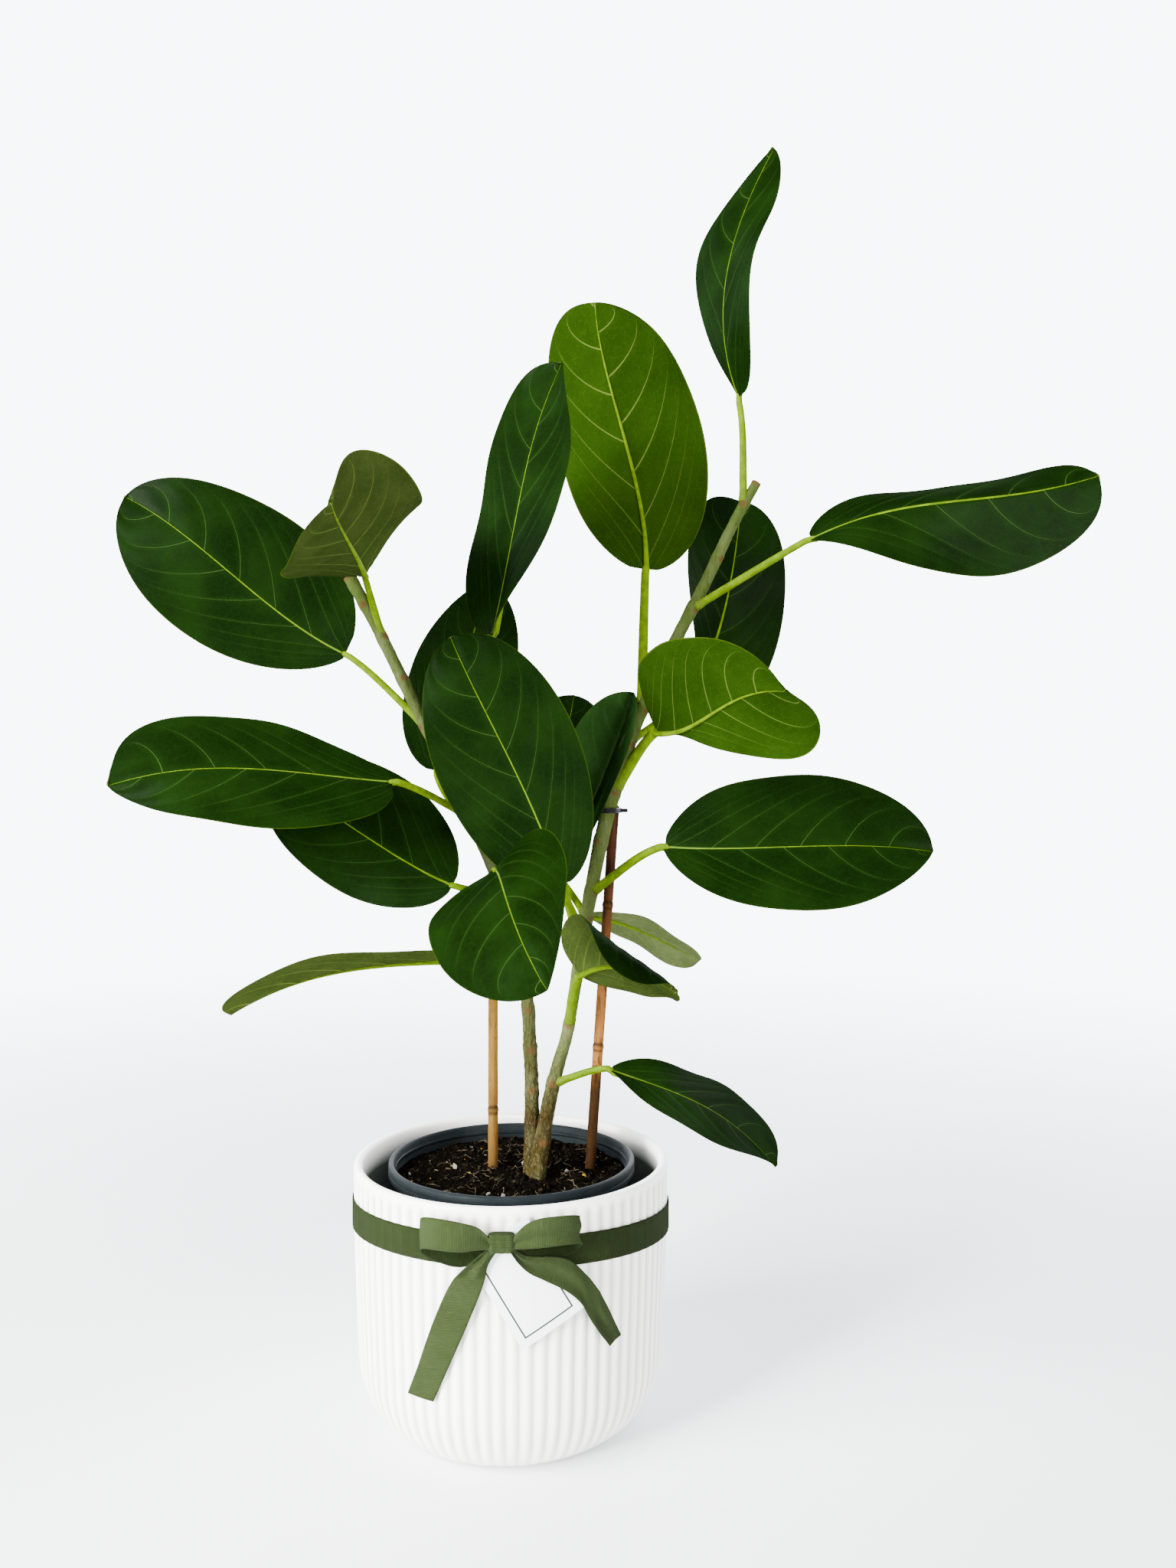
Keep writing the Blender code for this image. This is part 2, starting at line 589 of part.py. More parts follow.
def blade_surface(leaf, t, v):
    """Points of the blade at lengths t (0 to 1) and places across v (-1 to 1), each half an arc."""
    centre, _, across, out = blade_frame(leaf, t)
    rows = []
    for place in v:
        half, side = (leaf.left, -1) if place < 0 else (leaf.right, 1)
        length = abs(place) * np.maximum(half_width(half, t), BLADE_LEAST_WIDTH)
        start = np.radians(along_leaf(half.lift, t))
        bend = np.radians(along_leaf(half.curl, t)) / half.width
        bend = np.where(np.abs(bend) < 1e-6, 1e-6, bend)
        sideways = (np.sin(start + bend * length) - np.sin(start)) / bend
        outwards = (np.cos(start) - np.cos(start + bend * length)) / bend
        phase = WAVES * t + (WAVE_SHIFT if side > 0 else 0)
        fade = np.sqrt(np.sin(math.pi * np.clip(t, 0, 1)))
        outwards = outwards + WAVE_HEIGHT * place**2 * np.sin(2 * math.pi * phase) * fade
        rows.append(centre + side * sideways[:, None] * across + outwards[:, None] * out)
    return np.stack(rows, axis=1)


def blade_normals(leaf, t, v):
    """Directions out of the blade's upper face, from small steps along and across it."""
    step_t, step_v = 1e-3, 1e-3
    before = np.clip(np.asarray(t) - step_t, 0.001, 0.999)
    after = np.clip(np.asarray(t) + step_t, 0.001, 0.999)
    wide = [np.clip(place + step_v, -1, 1) for place in v]
    narrow = [np.clip(place - step_v, -1, 1) for place in v]
    along = blade_surface(leaf, after, v) - blade_surface(leaf, before, v)
    middle = np.clip(np.asarray(t), 0.001, 0.999)
    across = blade_surface(leaf, middle, wide) - blade_surface(leaf, middle, narrow)
    return unit(np.cross(across, along))


def stalk_path(leaf):
    """The leaf stalk's curve from the leader's centre to the blade, turning halfway to the midrib's way."""
    leader = RIGHT_LEADER if leaf.leader == "right" else LEFT_LEADER
    foot, _ = at_height(leader, leaf.height)
    base, slope = by_thirds(leaf.midrib, [0.0])
    base, along = base[0], unit(slope[0])
    reach = np.linalg.norm(base - foot)
    leave = unit(base - foot)
    arrive = unit(along + leave)
    bends = np.array([foot, foot + leave * reach * STALK_LEAVES,
                      base - arrive * reach * STALK_ARRIVES, base])
    t = np.linspace(0, 1, STALK_ROWS + 1)[:, None]
    return ((1 - t)**3 * bends[0] + 3 * (1 - t)**2 * t * bends[1]
            + 3 * (1 - t) * t**2 * bends[2] + t**3 * bends[3])


def make_leaf(name, leaf):
    """A blade, its raised midrib and its stalk as one skin of rings, each split alike on both faces."""
    columns = np.asarray(BLADE_COLUMNS)
    t = 0.5 - 0.5 * np.cos(math.pi * np.linspace(BLADE_START, 1, BLADE_ROWS))
    t[-1] = BLADE_END
    surface = blade_surface(leaf, t, columns)
    normal = blade_normals(leaf, t, columns)
    crest = np.exp(-(columns / KEEL_SHARE)**2)
    keel = KEEL_DEPTH * (1 - t)[:, None] * crest[None, :]
    lower = surface - normal * (BLADE_THICKNESS + keel)[:, :, None]
    rings = list(np.concatenate([surface, lower[:, ::-1]], axis=1))
    sides = 2 * len(columns)
    centre, along, across, out = (part[0] for part in blade_frame(leaf, np.array([0.0])))
    path = stalk_path(leaf)
    angle = math.pi - math.pi * (np.arange(sides) + 0.5) / len(columns)
    stalk = []
    for k in range(len(path) - 1, -1, -1):
        way = along if k == len(path) - 1 else unit(path[k + 1] - path[k])
        out = unit(out - (out @ way) * way)
        across = np.cross(way, out)
        radius = STALK_RADIUS * leaf.stalk * (STALK_FOOT - STALK_LOSS * k / STALK_ROWS)
        stalk.append(path[k] + radius * (np.cos(angle)[:, None] * across + np.sin(angle)[:, None] * out))
    rings = stalk[::-1] + rings
    faces = []
    for i in range(len(rings) - 1):
        for j in range(sides):
            k = (j + 1) % sides
            a, b = i * sides + j, i * sides + k
            c, d = a + sides, b + sides
            if j < len(columns):
                faces += [(a, b, d), (a, d, c)]
            else:
                faces += [(a, b, c), (b, d, c)]
    faces.append(tuple(range(sides))[::-1])
    faces.append(tuple((len(rings) - 1) * sides + j for j in range(sides)))
    made = solid(name, np.concatenate(rings), faces, "leaf")
    combine(made, make_stem("stalk_cut", GAP), "DIFFERENCE")
    return made


def band_top(angle):
    """Height of the band's upper edge at an angle from the front, positive to the right."""
    return BAND_TOP + BAND_FRONT_RISE * math.cos(angle) + BAND_RIGHT_RISE * math.sin(angle)


def on_band(along, height, over):
    """A point at a distance along the band from the front, a height, and a distance over the band."""
    radius = POT_RADIUS + GAP + RIBBON_THICKNESS + over
    angle = along / POT_RADIUS
    return (radius * math.sin(angle), -radius * math.cos(angle), height)


def make_band():
    """The ribbon round the pot, tipped up at the front, its corners on the crests of the flutes."""
    inner = POT_RADIUS + GAP
    points = []
    for j in range(FLUTES):
        turn = 2 * math.pi * j / FLUTES
        top = band_top(turn + math.pi / 2)
        for radius, z in ((inner, top - RIBBON_WIDTH), (inner, top),
                          (inner + RIBBON_THICKNESS, top), (inner + RIBBON_THICKNESS, top - RIBBON_WIDTH)):
            points.append((radius * math.cos(turn), radius * math.sin(turn), z))
    faces = []
    for j in range(FLUTES):
        k = (j + 1) % FLUTES
        for side in range(4):
            other = (side + 1) % 4
            faces.append((4 * j + side, 4 * k + side, 4 * k + other, 4 * j + other))
    return solid("ribbon_band", points, faces, "ribbon")


def make_strip(name, course, rows):
    """A length of ribbon between two edges, each row of the course giving a point on both.

    An edge point is (along, height, over) as on_band() takes it.
    """
    course = through_points([first + second for first, second in course], np.linspace(0, 1, rows))
    first = np.array([on_band(*row[:3]) for row in course])
    second = np.array([on_band(*row[3:]) for row in course])
    way = np.gradient((first + second) / 2, axis=0)
    thick = unit(np.cross(way, second - first)) * RIBBON_THICKNESS / 2
    rings = np.stack([first - thick, second - thick, second + thick, first + thick], axis=1)
    return solid(name, rings.reshape(-1, 3), skin_faces(rows, 4), "ribbon")


def make_knot(name, extra=0.0):
    """The knot: a short wrap of ribbon, rounded in plan; extra widens it into a cutter."""
    points = []
    shape = [(math.cos(a), math.sin(a)) for a in np.arange(KNOT_SIDES) * 2 * math.pi / KNOT_SIDES]
    levels = ((KNOT_BOTTOM - extra, KNOT_END_SHARE), (KNOT_BOTTOM + KNOT_ROUNDING, 1.0),
              (KNOT_TOP - KNOT_ROUNDING, 1.0), (KNOT_TOP + extra, KNOT_END_SHARE))
    for height, size in levels:
        for x, y in shape:
            across = (KNOT_WIDTH / 2 * size + extra) * math.copysign(abs(x)**KNOT_SQUARENESS, x)
            depth = (KNOT_DEPTH / 2 * size + extra) * math.copysign(abs(y)**KNOT_SQUARENESS, y)
            points.append(on_band(KNOT_PLACE + across, height, KNOT_CLEAR + KNOT_DEPTH / 2 + depth))
    return solid(name, points, skin_faces(len(levels), len(shape)), "ribbon")


def make_bow():
    """The two loops and the two tails, each its own length of ribbon that ends at the knot."""
    loops = {
        "bow_loop_left": (
            (-7, 186, 177, 8.4), (-14, 194, 177, 11.5), (-25, 198, 175.5, 15), (-40, 199.5, 176, 16),
            (-50, 199, 177, 13.5), (-54, 196.5, 174.5, 9.5), (-51, 192.5, 169.5, 5.8),
            (-42, 188.5, 166, 4.8), (-29, 186.5, 164.5, 4.8), (-17, 185.5, 168.5, 5),
            (-7, 184.5, 176.5, 5.4)),
        "bow_loop_right": (
            (9, 187, 178, 8.4), (17, 197, 179, 11.5), (26, 202, 180.5, 15), (39, 203, 183, 16),
            (49, 202, 184.5, 13.5), (53.5, 199, 181, 9.5), (50, 194, 173, 5.8),
            (41, 192, 171, 4.8), (29, 190, 170.5, 4.6), (18, 187.5, 173, 4.8), (9, 185.5, 177, 5.2))}
    for name, course in loops.items():
        edges = [((a, top, over), (a, bottom, over)) for a, top, bottom, over in course]
        combine(make_strip(name, edges, LOOP_ROWS), make_knot("knot_cut", GAP), "DIFFERENCE")
    tails = {
        "ribbon_tail_left": (
            ((-5, 181, 7.4), (-1, 177, 7.4)), ((-22, 165, 6.2), (-8, 165, 6.2)),
            ((-35, 149, 4.2), (-12, 149, 4.2)), ((-50, 117, 1.2), (-24, 119, 1.2)),
            ((-63, 85, -1), (-38, 88, -1)), ((-74, 62, -3), (-51, 61, -3))),
        "ribbon_tail_right": (
            ((6, 181, 7), (6, 177, 7)), ((15, 173, 7.6), (12, 168, 7.6)), ((25, 171, 8), (19, 161, 8)),
            ((36, 170, 8), (29, 155, 8)), ((47, 166, 7.6), (43, 146, 7.6)),
            ((57, 156, 7), (54, 135, 7)), ((67, 143, 5.8), (62, 121, 6.2)),
            ((79, 124, 3.6), (70, 108, 5)), ((91, 101, 1.6), (79, 97, 3.6)))}
    for name, edges in tails.items():
        combine(make_strip(name, edges, TAIL_ROWS), make_knot("knot_cut", GAP), "DIFFERENCE")


def make_tag():
    """The card: a tilted rectangle, gently bent round the pot, that touches the band along one line."""
    tilt = math.radians(TAG_TILT)
    touch = TAG_TOUCH / POT_RADIUS
    start = POT_RADIUS + GAP + RIBBON_THICKNESS + GAP
    rows, columns = TAG_ROWS, TAG_COLUMNS
    points = []
    for face in (0.0, TAG_THICKNESS):
        for i in range(rows):
            for j in range(columns):
                up = TAG_LENGTH * (i / (rows - 1) - 0.5)
                side = TAG_WIDTH * (j / (columns - 1) - 0.5)
                along = TAG_CENTRE[0] + side * math.cos(tilt) - up * math.sin(tilt)
                height = TAG_CENTRE[1] + side * math.sin(tilt) + up * math.cos(tilt)
                bend = (along - TAG_TOUCH) / TAG_BEND_RADIUS
                sideways = (TAG_BEND_RADIUS + face) * math.sin(bend)
                outwards = start + face - (TAG_BEND_RADIUS + face) * (1 - math.cos(bend))
                points.append((sideways * math.cos(touch) + outwards * math.sin(touch),
                               sideways * math.sin(touch) - outwards * math.cos(touch), height))
    count = rows * columns
    faces = []
    for i in range(rows - 1):
        for j in range(columns - 1):
            a = i * columns + j
            quad = (a, a + 1, a + columns + 1, a + columns)
            faces += [quad, tuple(k + count for k in quad)]
    border = ([j for j in range(columns)] + [i * columns + columns - 1 for i in range(1, rows)]
              + [(rows - 1) * columns + j for j in range(columns - 2, -1, -1)]
              + [i * columns for i in range(rows - 2, 0, -1)])
    for a, b in zip(border, border[1:] + border[:1]):
        faces.append((a, b, b + count, a + count))
    return solid("gift_tag", points, faces, "paper")


def main():
    """Build every piece of the plant."""
    clear_scene()
    make_cachepot()
    make_nursery_pot()
    make_soil()
    make_stem("stem")
    make_stake("stake_left", STAKE_LEFT, "bamboo")
    make_stake("stake_right", STAKE_RIGHT, "dark_bamboo")
    make_tie()
    for number, leaf in enumerate(LEAVES, start=1):
        make_leaf(f"leaf_{number:02d}", leaf)
    make_band()
    make_knot("bow_knot")
    make_bow()
    make_tag()


main()
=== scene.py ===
"""A ficus audrey in its nursery pot, inside a fluted ceramic cachepot dressed with ribbon, bow and tag.

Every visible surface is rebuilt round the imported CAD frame: leaves with their veins, stems with bark,
bamboo stakes, potting mix, plastic pot, glazed pot, woven ribbon and a blank card. Sizes are written in
millimetres in the CAD's own frame, and Skin.build() turns them into metres.
"""

import logging
import math
from dataclasses import dataclass
from enum import Enum
from typing import Sequence

import bpy
import numpy as np
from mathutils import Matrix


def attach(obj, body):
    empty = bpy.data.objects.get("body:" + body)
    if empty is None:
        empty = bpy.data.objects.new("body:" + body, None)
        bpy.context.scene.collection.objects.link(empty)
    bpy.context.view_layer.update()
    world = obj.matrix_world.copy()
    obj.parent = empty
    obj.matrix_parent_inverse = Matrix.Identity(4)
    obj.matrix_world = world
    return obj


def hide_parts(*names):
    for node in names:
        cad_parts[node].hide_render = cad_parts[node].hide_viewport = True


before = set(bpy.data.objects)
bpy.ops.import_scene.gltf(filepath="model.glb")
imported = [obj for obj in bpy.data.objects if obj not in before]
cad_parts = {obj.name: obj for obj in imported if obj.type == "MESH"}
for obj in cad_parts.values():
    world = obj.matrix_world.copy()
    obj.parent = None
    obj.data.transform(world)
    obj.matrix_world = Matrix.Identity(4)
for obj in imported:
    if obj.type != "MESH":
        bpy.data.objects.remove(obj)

logging.basicConfig(level=logging.INFO, format="%(message)s")
log = logging.getLogger("plant")

MM = 0.001
ROOT = "root"
GAP = 0.3
Colour = tuple[float, float, float]
Value = "float | Sock"


# ---------------------------------------------------------------- shader graphs

class Sock:
    """A node's output that can be used in sums: each operator adds one Math node.

    Args:
        graph: the graph that the socket belongs to.
        socket: the output socket of one of its nodes.
    """

    def __init__(self, graph: "Graph", socket: bpy.types.NodeSocket) -> None:
        self.graph = graph
        self.socket = socket

    def __add__(self, other: Value) -> "Sock":
        return self.graph.math("ADD", self, other)

    def __radd__(self, other: Value) -> "Sock":
        return self.graph.math("ADD", other, self)

    def __sub__(self, other: Value) -> "Sock":
        return self.graph.math("SUBTRACT", self, other)

    def __rsub__(self, other: Value) -> "Sock":
        return self.graph.math("SUBTRACT", other, self)

    def __mul__(self, other: Value) -> "Sock":
        return self.graph.math("MULTIPLY", self, other)

    def __rmul__(self, other: Value) -> "Sock":
        return self.graph.math("MULTIPLY", other, self)

    def __truediv__(self, other: Value) -> "Sock":
        return self.graph.math("DIVIDE", self, other)

    def __rtruediv__(self, other: Value) -> "Sock":
        return self.graph.math("DIVIDE", other, self)

    def __pow__(self, other: Value) -> "Sock":
        return self.graph.math("POWER", self, other)

    def __neg__(self) -> "Sock":
        return self.graph.math("MULTIPLY", self, -1.0)

    def __abs__(self) -> "Sock":
        return self.graph.math("ABSOLUTE", self)


class Graph:
    """The node tree of one material or of the world, written as sums of sockets.

    Args:
        name: the material's or the world's name.
        shader: the name of the shader node that everything ends in.
    """

    def __init__(self, name: str, shader: str = "Principled BSDF") -> None:
        made = bpy.data.worlds if shader == "Background" else bpy.data.materials
        self.owner = made.new(name)
        self.owner.use_nodes = True
        self.tree = self.owner.node_tree
        self.shader = self.tree.nodes[shader]

    def feed(self, socket: bpy.types.NodeSocket, value: object) -> None:
        """Link a socket to another one, or set it to a number, a colour or a vector.

        Args:
            socket: the input to fill.
            value: a Sock, a number or a tuple of three numbers.
        """
        if isinstance(value, Sock):
            self.tree.links.new(value.socket, socket)
        elif isinstance(value, tuple) and socket.type == "RGBA":
            socket.default_value = (*value, 1.0)
        else:
            socket.default_value = value

    def add(self, kind: str, values: dict, out: "int | str" = 0, **settings: object) -> Sock:
        """Add a node: its settings first, then its inputs.

        Args:
            kind: the node's type.
            values: what goes into each input, by name or number.
            out: the output to hand back, by name or number.
            settings: properties of the node, such as its operation.

        Returns:
            The chosen output.
        """
        node = self.tree.nodes.new(kind)
        for key, value in settings.items():
            setattr(node, key, value)
        for key, value in values.items():
            self.feed(node.inputs[key], value)
        return Sock(self, node.outputs[out])

    def math(self, operation: str, *values: Value) -> Sock:
        """Add a Math node with this operation on the values."""
        return self.add("ShaderNodeMath", dict(enumerate(values)), operation=operation)

    def mix(self, share: Value, first: "Colour | Sock", second: "Colour | Sock") -> Sock:
        """Blend two colours: the first where share is 0 and the second where it is 1."""
        return self.add("ShaderNodeMix", {0: share, 6: first, 7: second}, 2, data_type="RGBA")

    def step(self, value: Value, low: float, high: float) -> Sock:
        """Run smoothly from 0 at low to 1 at high; low may be the larger of the two."""
        return self.add("ShaderNodeMapRange", {"Value": value, "From Min": low, "From Max": high},
                        interpolation_type="SMOOTHSTEP")

    def ramp(self, value: Sock, *stops: tuple[float, Colour]) -> Sock:
        """Read a row of colours at a value from 0 to 1.

        Args:
            value: where along the row.
            stops: places and their colours, in order.

        Returns:
            The colour there.
        """
        node = self.tree.nodes.new("ShaderNodeValToRGB")
        elements = node.color_ramp.elements
        while len(elements) < len(stops):
            elements.new(0.5)
        for element, (place, colour) in zip(elements, stops):
            element.position = place
            element.color = (*colour, 1.0)
        self.feed(node.inputs[0], value)
        return Sock(self, node.outputs[0])

    def where(self, stretch: tuple = (1.0, 1.0, 1.0)) -> Sock:
        """The object coordinates, each axis multiplied by its stretch."""
        place = self.add("ShaderNodeTexCoord", {}, "Object")
        return self.stretch(place, stretch)

    def stretch(self, vector: Sock, by: tuple) -> Sock:
        """A vector with each axis multiplied by a number."""
        return self.add("ShaderNodeVectorMath", {0: vector, 1: by}, operation="MULTIPLY")

    def flat(self) -> Sock:
        """The piece's own UV map, in metres along and across the sheet."""
        return self.add("ShaderNodeUVMap", {}, uv_map="flat")

    def own(self, name: str) -> tuple[Sock, Sock, Sock]:
        """The three numbers of an attribute that the piece carries."""
        vector = self.add("ShaderNodeAttribute", {}, "Vector", attribute_name=name)
        return self.split(vector)

    def split(self, vector: Sock) -> tuple[Sock, Sock, Sock]:
        """A vector's three numbers."""
        node = self.tree.nodes.new("ShaderNodeSeparateXYZ")
        self.feed(node.inputs[0], vector)
        return tuple(Sock(self, output) for output in node.outputs)

    def noise(self, vector: Sock, scale: float, detail: float = 3.0, rough: float = 0.5) -> Sock:
        """Soft random values from 0 to 1 that change over 1/scale metres."""
        return self.add("ShaderNodeTexNoise",
                        {"Vector": vector, "Scale": scale, "Detail": detail, "Roughness": rough})

    def cells(self, vector: Sock, scale: float, feature: str = "F1", out: str = "Distance") -> Sock:
        """Random cells about 1/scale metres wide: the distance to their points or edges, or a colour."""
        return self.add("ShaderNodeTexVoronoi", {"Vector": vector, "Scale": scale}, out, feature=feature)

    def bump(self, height: Sock, distance: float, strength: float = 1.0,
             under: "Sock | None" = None) -> Sock:
        """Turn a height from 0 to 1 into a relief of so many metres, on top of another relief.

        Args:
            height: the height over the surface.
            distance: how many metres a height of 1 is.
            strength: how much of the relief shows.
            under: the normal that it builds on.

        Returns:
            The normal.
        """
        values = {"Height": height, "Distance": distance, "Strength": strength}
        if under is not None:
            values["Normal"] = under
        return self.add("ShaderNodeBump", values)

    def finish(self, **values: object) -> "bpy.types.Material | bpy.types.World":
        """Fill the shader's inputs, underscores standing for spaces, and return what was made."""
        for key, value in values.items():
            self.feed(self.shader.inputs[key.replace("_", " ")], value)
        return self.owner


# ---------------------------------------------------------------- finishes

class Shade(Enum):
    """The base and bright colours of a leaf's underside."""

    # Painted light: a saturated green standing in for light that shines through the leaf from behind.
    BRIGHT = ((0.0060, 0.0205, 0.0008), (0.0100, 0.0290, 0.0014))
    OLIVE = ((0.0150, 0.0250, 0.0045), (0.0250, 0.0380, 0.0075))
    PALE = ((0.045, 0.062, 0.0200), (0.070, 0.093, 0.0320))


class Tone(Enum):
    """The dark and light colours of a leaf's upper face."""

    DEEP = ((0.0015, 0.0064, 0.0005), (0.0030, 0.0118, 0.0010))
    # Painted light: a lighter, bluer copy of the deep tone for a leaf that sits in shade; its blue stands in for a
    # sheen.
    FRESH = ((0.0090, 0.0300, 0.0050), (0.0150, 0.0460, 0.0090))


@dataclass(frozen=True)
class LeafVeins:
    """The vein pattern both faces of a leaf share.

    Args:
        midrib: half the midrib's drawn width at the base, in metres.
        lateral: half a lateral vein's drawn width, in metres.
        spacing: metres between two lateral veins, square to them.
        offset: how far the right half's veins are shifted against the left half's, in spacings.
    """

    midrib: float
    lateral: float
    spacing: float = 0.031
    offset: float = 0.38

    def masks(self, graph: Graph) -> tuple[Sock, Sock, Sock, Sock]:
        """Draw the veins from the attribute "leaf": length share, place across, vein number.

        Returns:
            The midrib, the lateral veins, a broad glow round both, and the fine net between them.
        """
        along, across, number = graph.own("leaf")
        _, aside, _ = graph.split(graph.flat())
        side = abs(across)
        shifted = number + graph.math("GREATER_THAN", across, 0.0) * self.offset
        off = abs(graph.math("FRACT", shifted) - 0.5) * self.spacing
        taper = 1.15 - along
        rib = graph.step(abs(aside) / taper, self.midrib, self.midrib * 0.55)
        fade = graph.step(side, 1.02, 0.55)
        thin = self.lateral * (1.15 - side * 0.6)
        lateral = graph.step(off / thin, 1.0, 0.35) * fade
        glow = graph.math("MAXIMUM", graph.step(off, 0.006, 0.0) * fade,
                          graph.step(abs(aside), 0.007, 0.0))
        warp = graph.noise(graph.flat(), 60.0, 2.0)
        bent = graph.add("ShaderNodeVectorMath", {0: graph.flat(), 1: graph.mix(0.985, warp, (0, 0, 0))},
                         operation="ADD")
        net = graph.step(graph.cells(bent, 190.0, "DISTANCE_TO_EDGE"), 0.10, 0.0)
        return rib, lateral, glow, net


@dataclass(frozen=True)
class UpperFace:
    """A leaf's dark, satin upper face with thin yellow-green veins.

    Args:
        tone: its dark and light colours.
        vein: the midrib's colour.
    """

    tone: Tone = Tone.DEEP
    vein: Colour = (0.056, 0.098, 0.019)

    def make(self) -> bpy.types.Material:
        """Build the material."""
        g = Graph(f"leaf_upper_{self.tone.name.lower()}")
        dark, light = self.tone.value
        rib, lateral, glow, net = LeafVeins(0.0008, 0.00036).masks(g)
        along, across, _ = g.own("leaf")
        cloud = g.noise(g.flat(), 22.0, 3.0)
        grain = g.noise(g.flat(), 900.0, 2.0)
        blade = g.mix(g.step(cloud, 0.35, 0.72), dark, light)
        blade = g.mix(glow * 0.35, blade, tuple(c * 1.3 for c in light))
        blade = g.mix(net * 0.16, blade, tuple(c * 1.6 for c in light))
        margin = g.step(abs(across), 0.982, 0.997)
        blade = g.mix(margin * 0.7, blade, (0.018, 0.034, 0.002))
        blade = g.mix(lateral * 0.55, blade, (0.034, 0.068, 0.013))
        colour = g.mix(rib, blade, g.mix(along, self.vein, (0.032, 0.066, 0.010)))
        facing = g.add("ShaderNodeLayerWeight", {"Blend": 0.5}, "Facing")
        height = 0.5 - 0.35 * lateral - 0.1 * net + 0.06 * grain
        rough = 0.40 + 0.12 * cloud - 0.05 * lateral
        return g.finish(Base_Color=colour, Roughness=rough, Normal=g.bump(height, 0.0006, 0.8),
                        Specular_IOR_Level=0.0, Coat_Weight=0.03 - 0.03 * facing, Coat_Roughness=0.35)


@dataclass(frozen=True)
class UnderFace:
    """A leaf's matt underside with raised, pale veins.

    Args:
        shade: its base and bright colours.
    """

    shade: Shade = Shade.OLIVE

    def make(self) -> bpy.types.Material:
        """Build the material."""
        g = Graph(f"leaf_under_{self.shade.name.lower()}")
        rib, lateral, glow, net = LeafVeins(0.0019, 0.00085).masks(g)
        _, across, _ = g.own("leaf")
        base, bright = self.shade.value
        cloud = g.noise(g.flat(), 26.0, 3.0)
        down = g.noise(g.flat(), 1400.0, 2.0)
        blade = g.mix(g.step(cloud, 0.3, 0.75), base, bright)
        blade = g.mix(net * 0.30, blade, tuple(min(1.0, c * 1.5) for c in bright))
        blade = g.mix(glow * 0.25, blade, tuple(min(1.0, c * 1.3) for c in bright))
        blade = g.mix(g.step(abs(across), 0.975, 0.995) * 0.6, blade, (0.045, 0.070, 0.004))
        blade = g.mix(down * 0.06, blade, (0.060, 0.080, 0.010))
        vein = (0.086, 0.128, 0.020)
        colour = g.mix(g.math("MAXIMUM", rib, lateral * 0.7), blade, vein)
        height = 0.6 * lateral + 0.22 * net + 0.08 * down
        return g.finish(Base_Color=colour, Roughness=0.56 + 0.1 * cloud, Normal=g.bump(height, 0.0008),
                        Specular_IOR_Level=0.0)


@dataclass(frozen=True)
class StalkSkin:
    """Smooth yellow-green skin of leaf stalks and midribs, with fine length-wise lines and painted shade low on the
    plant.

    Args:
        young: the bright colour.
        old: the duller colour of its patches.
    """

    young: Colour = (0.095, 0.165, 0.0005)
    old: Colour = (0.058, 0.105, 0.0005)

    def make(self) -> bpy.types.Material:
        """Build the material."""
        g = Graph("stalk_skin")
        length, turn, _ = g.own("skin")
        line = g.noise(g.where((1.0, 1.0, 1.0)), 160.0, 3.0)
        stripe = g.math("SINE", turn * 14.0 + 6.0 * line)
        speck = g.step(g.cells(g.where(), 700.0), 0.22, 0.10)
        colour = g.mix(g.step(line, 0.3, 0.7), self.young, self.old)
        colour = g.mix(g.step(length, 14.0, 2.0) * 0.55, colour, (0.060, 0.080, 0.010))
        # Painted shade: stalks below about 0.3 to 0.55 m are darker and more saturated, against the strong light
        # they get there.
        _, _, height = g.split(g.where())
        colour = g.mix(g.step(height, 0.55, 0.30) * 0.6, colour, (0.036, 0.070, 0.0))
        colour = g.mix(speck * 0.25, colour, (0.150, 0.170, 0.040))
        return g.finish(Base_Color=colour, Roughness=0.42 + 0.12 * line,
                        Normal=g.bump(0.5 + 0.2 * stripe, 0.0002), Specular_IOR_Level=0.0,
                        Coat_Weight=0.03, Coat_Roughness=0.35)


@dataclass(frozen=True)
class Bark:
    """Ficus bark that is brown and scaly low down, grey-green above and pale green near the top.

    The attribute "bark" holds the height share of brown, the share of green, and a scar's strength.

    Args:
        brown: the colour of old bark.
        grey: the colour of the middle stretch.
        green: the colour of young bark.
    """

    brown: Colour = (0.021, 0.0155, 0.0042)
    grey: Colour = (0.048, 0.062, 0.020)
    green: Colour = (0.038, 0.058, 0.0120)

    def make(self) -> bpy.types.Material:
        """Build the material."""
        g = Graph("bark")
        old, young, scar = g.own("bark")
        streak = g.noise(g.where((1.0, 1.0, 0.16)), 420.0, 5.0, 0.62)
        patch = g.noise(g.where((1.0, 1.0, 0.5)), 90.0, 4.0, 0.6)
        pores = g.step(g.cells(g.where((1.0, 1.0, 0.45)), 520.0), 0.32, 0.16)
        scale = g.step(g.cells(g.where((1.0, 1.0, 0.35)), 300.0, "DISTANCE_TO_EDGE"), 0.10, 0.0)
        colour = g.mix(old, g.mix(young, self.grey, self.green), self.brown)
        colour = g.mix(g.step(patch, 0.42, 0.68) * (0.5 - 0.25 * old - 0.2 * young), colour, (0.095, 0.108, 0.048))
        colour = g.mix(g.step(streak, 0.48, 0.72) * (0.35 + 0.35 * old), colour, (0.022, 0.015, 0.006))
        colour = g.mix(pores * (0.24 - 0.1 * young), colour, (0.150, 0.135, 0.070))
        colour = g.mix(scale * old * 0.6, colour, (0.012, 0.008, 0.004))
        colour = g.mix(scar * g.step(patch, 0.1, 0.45), colour, (0.062, 0.029, 0.011))
        height = 0.5 * streak + 0.5 * patch - 0.5 * scale * old + 0.25 * pores
        return g.finish(Base_Color=colour, Roughness=0.62 + 0.2 * patch, Normal=g.bump(height, 0.0011),
                        Specular_IOR_Level=0.0)


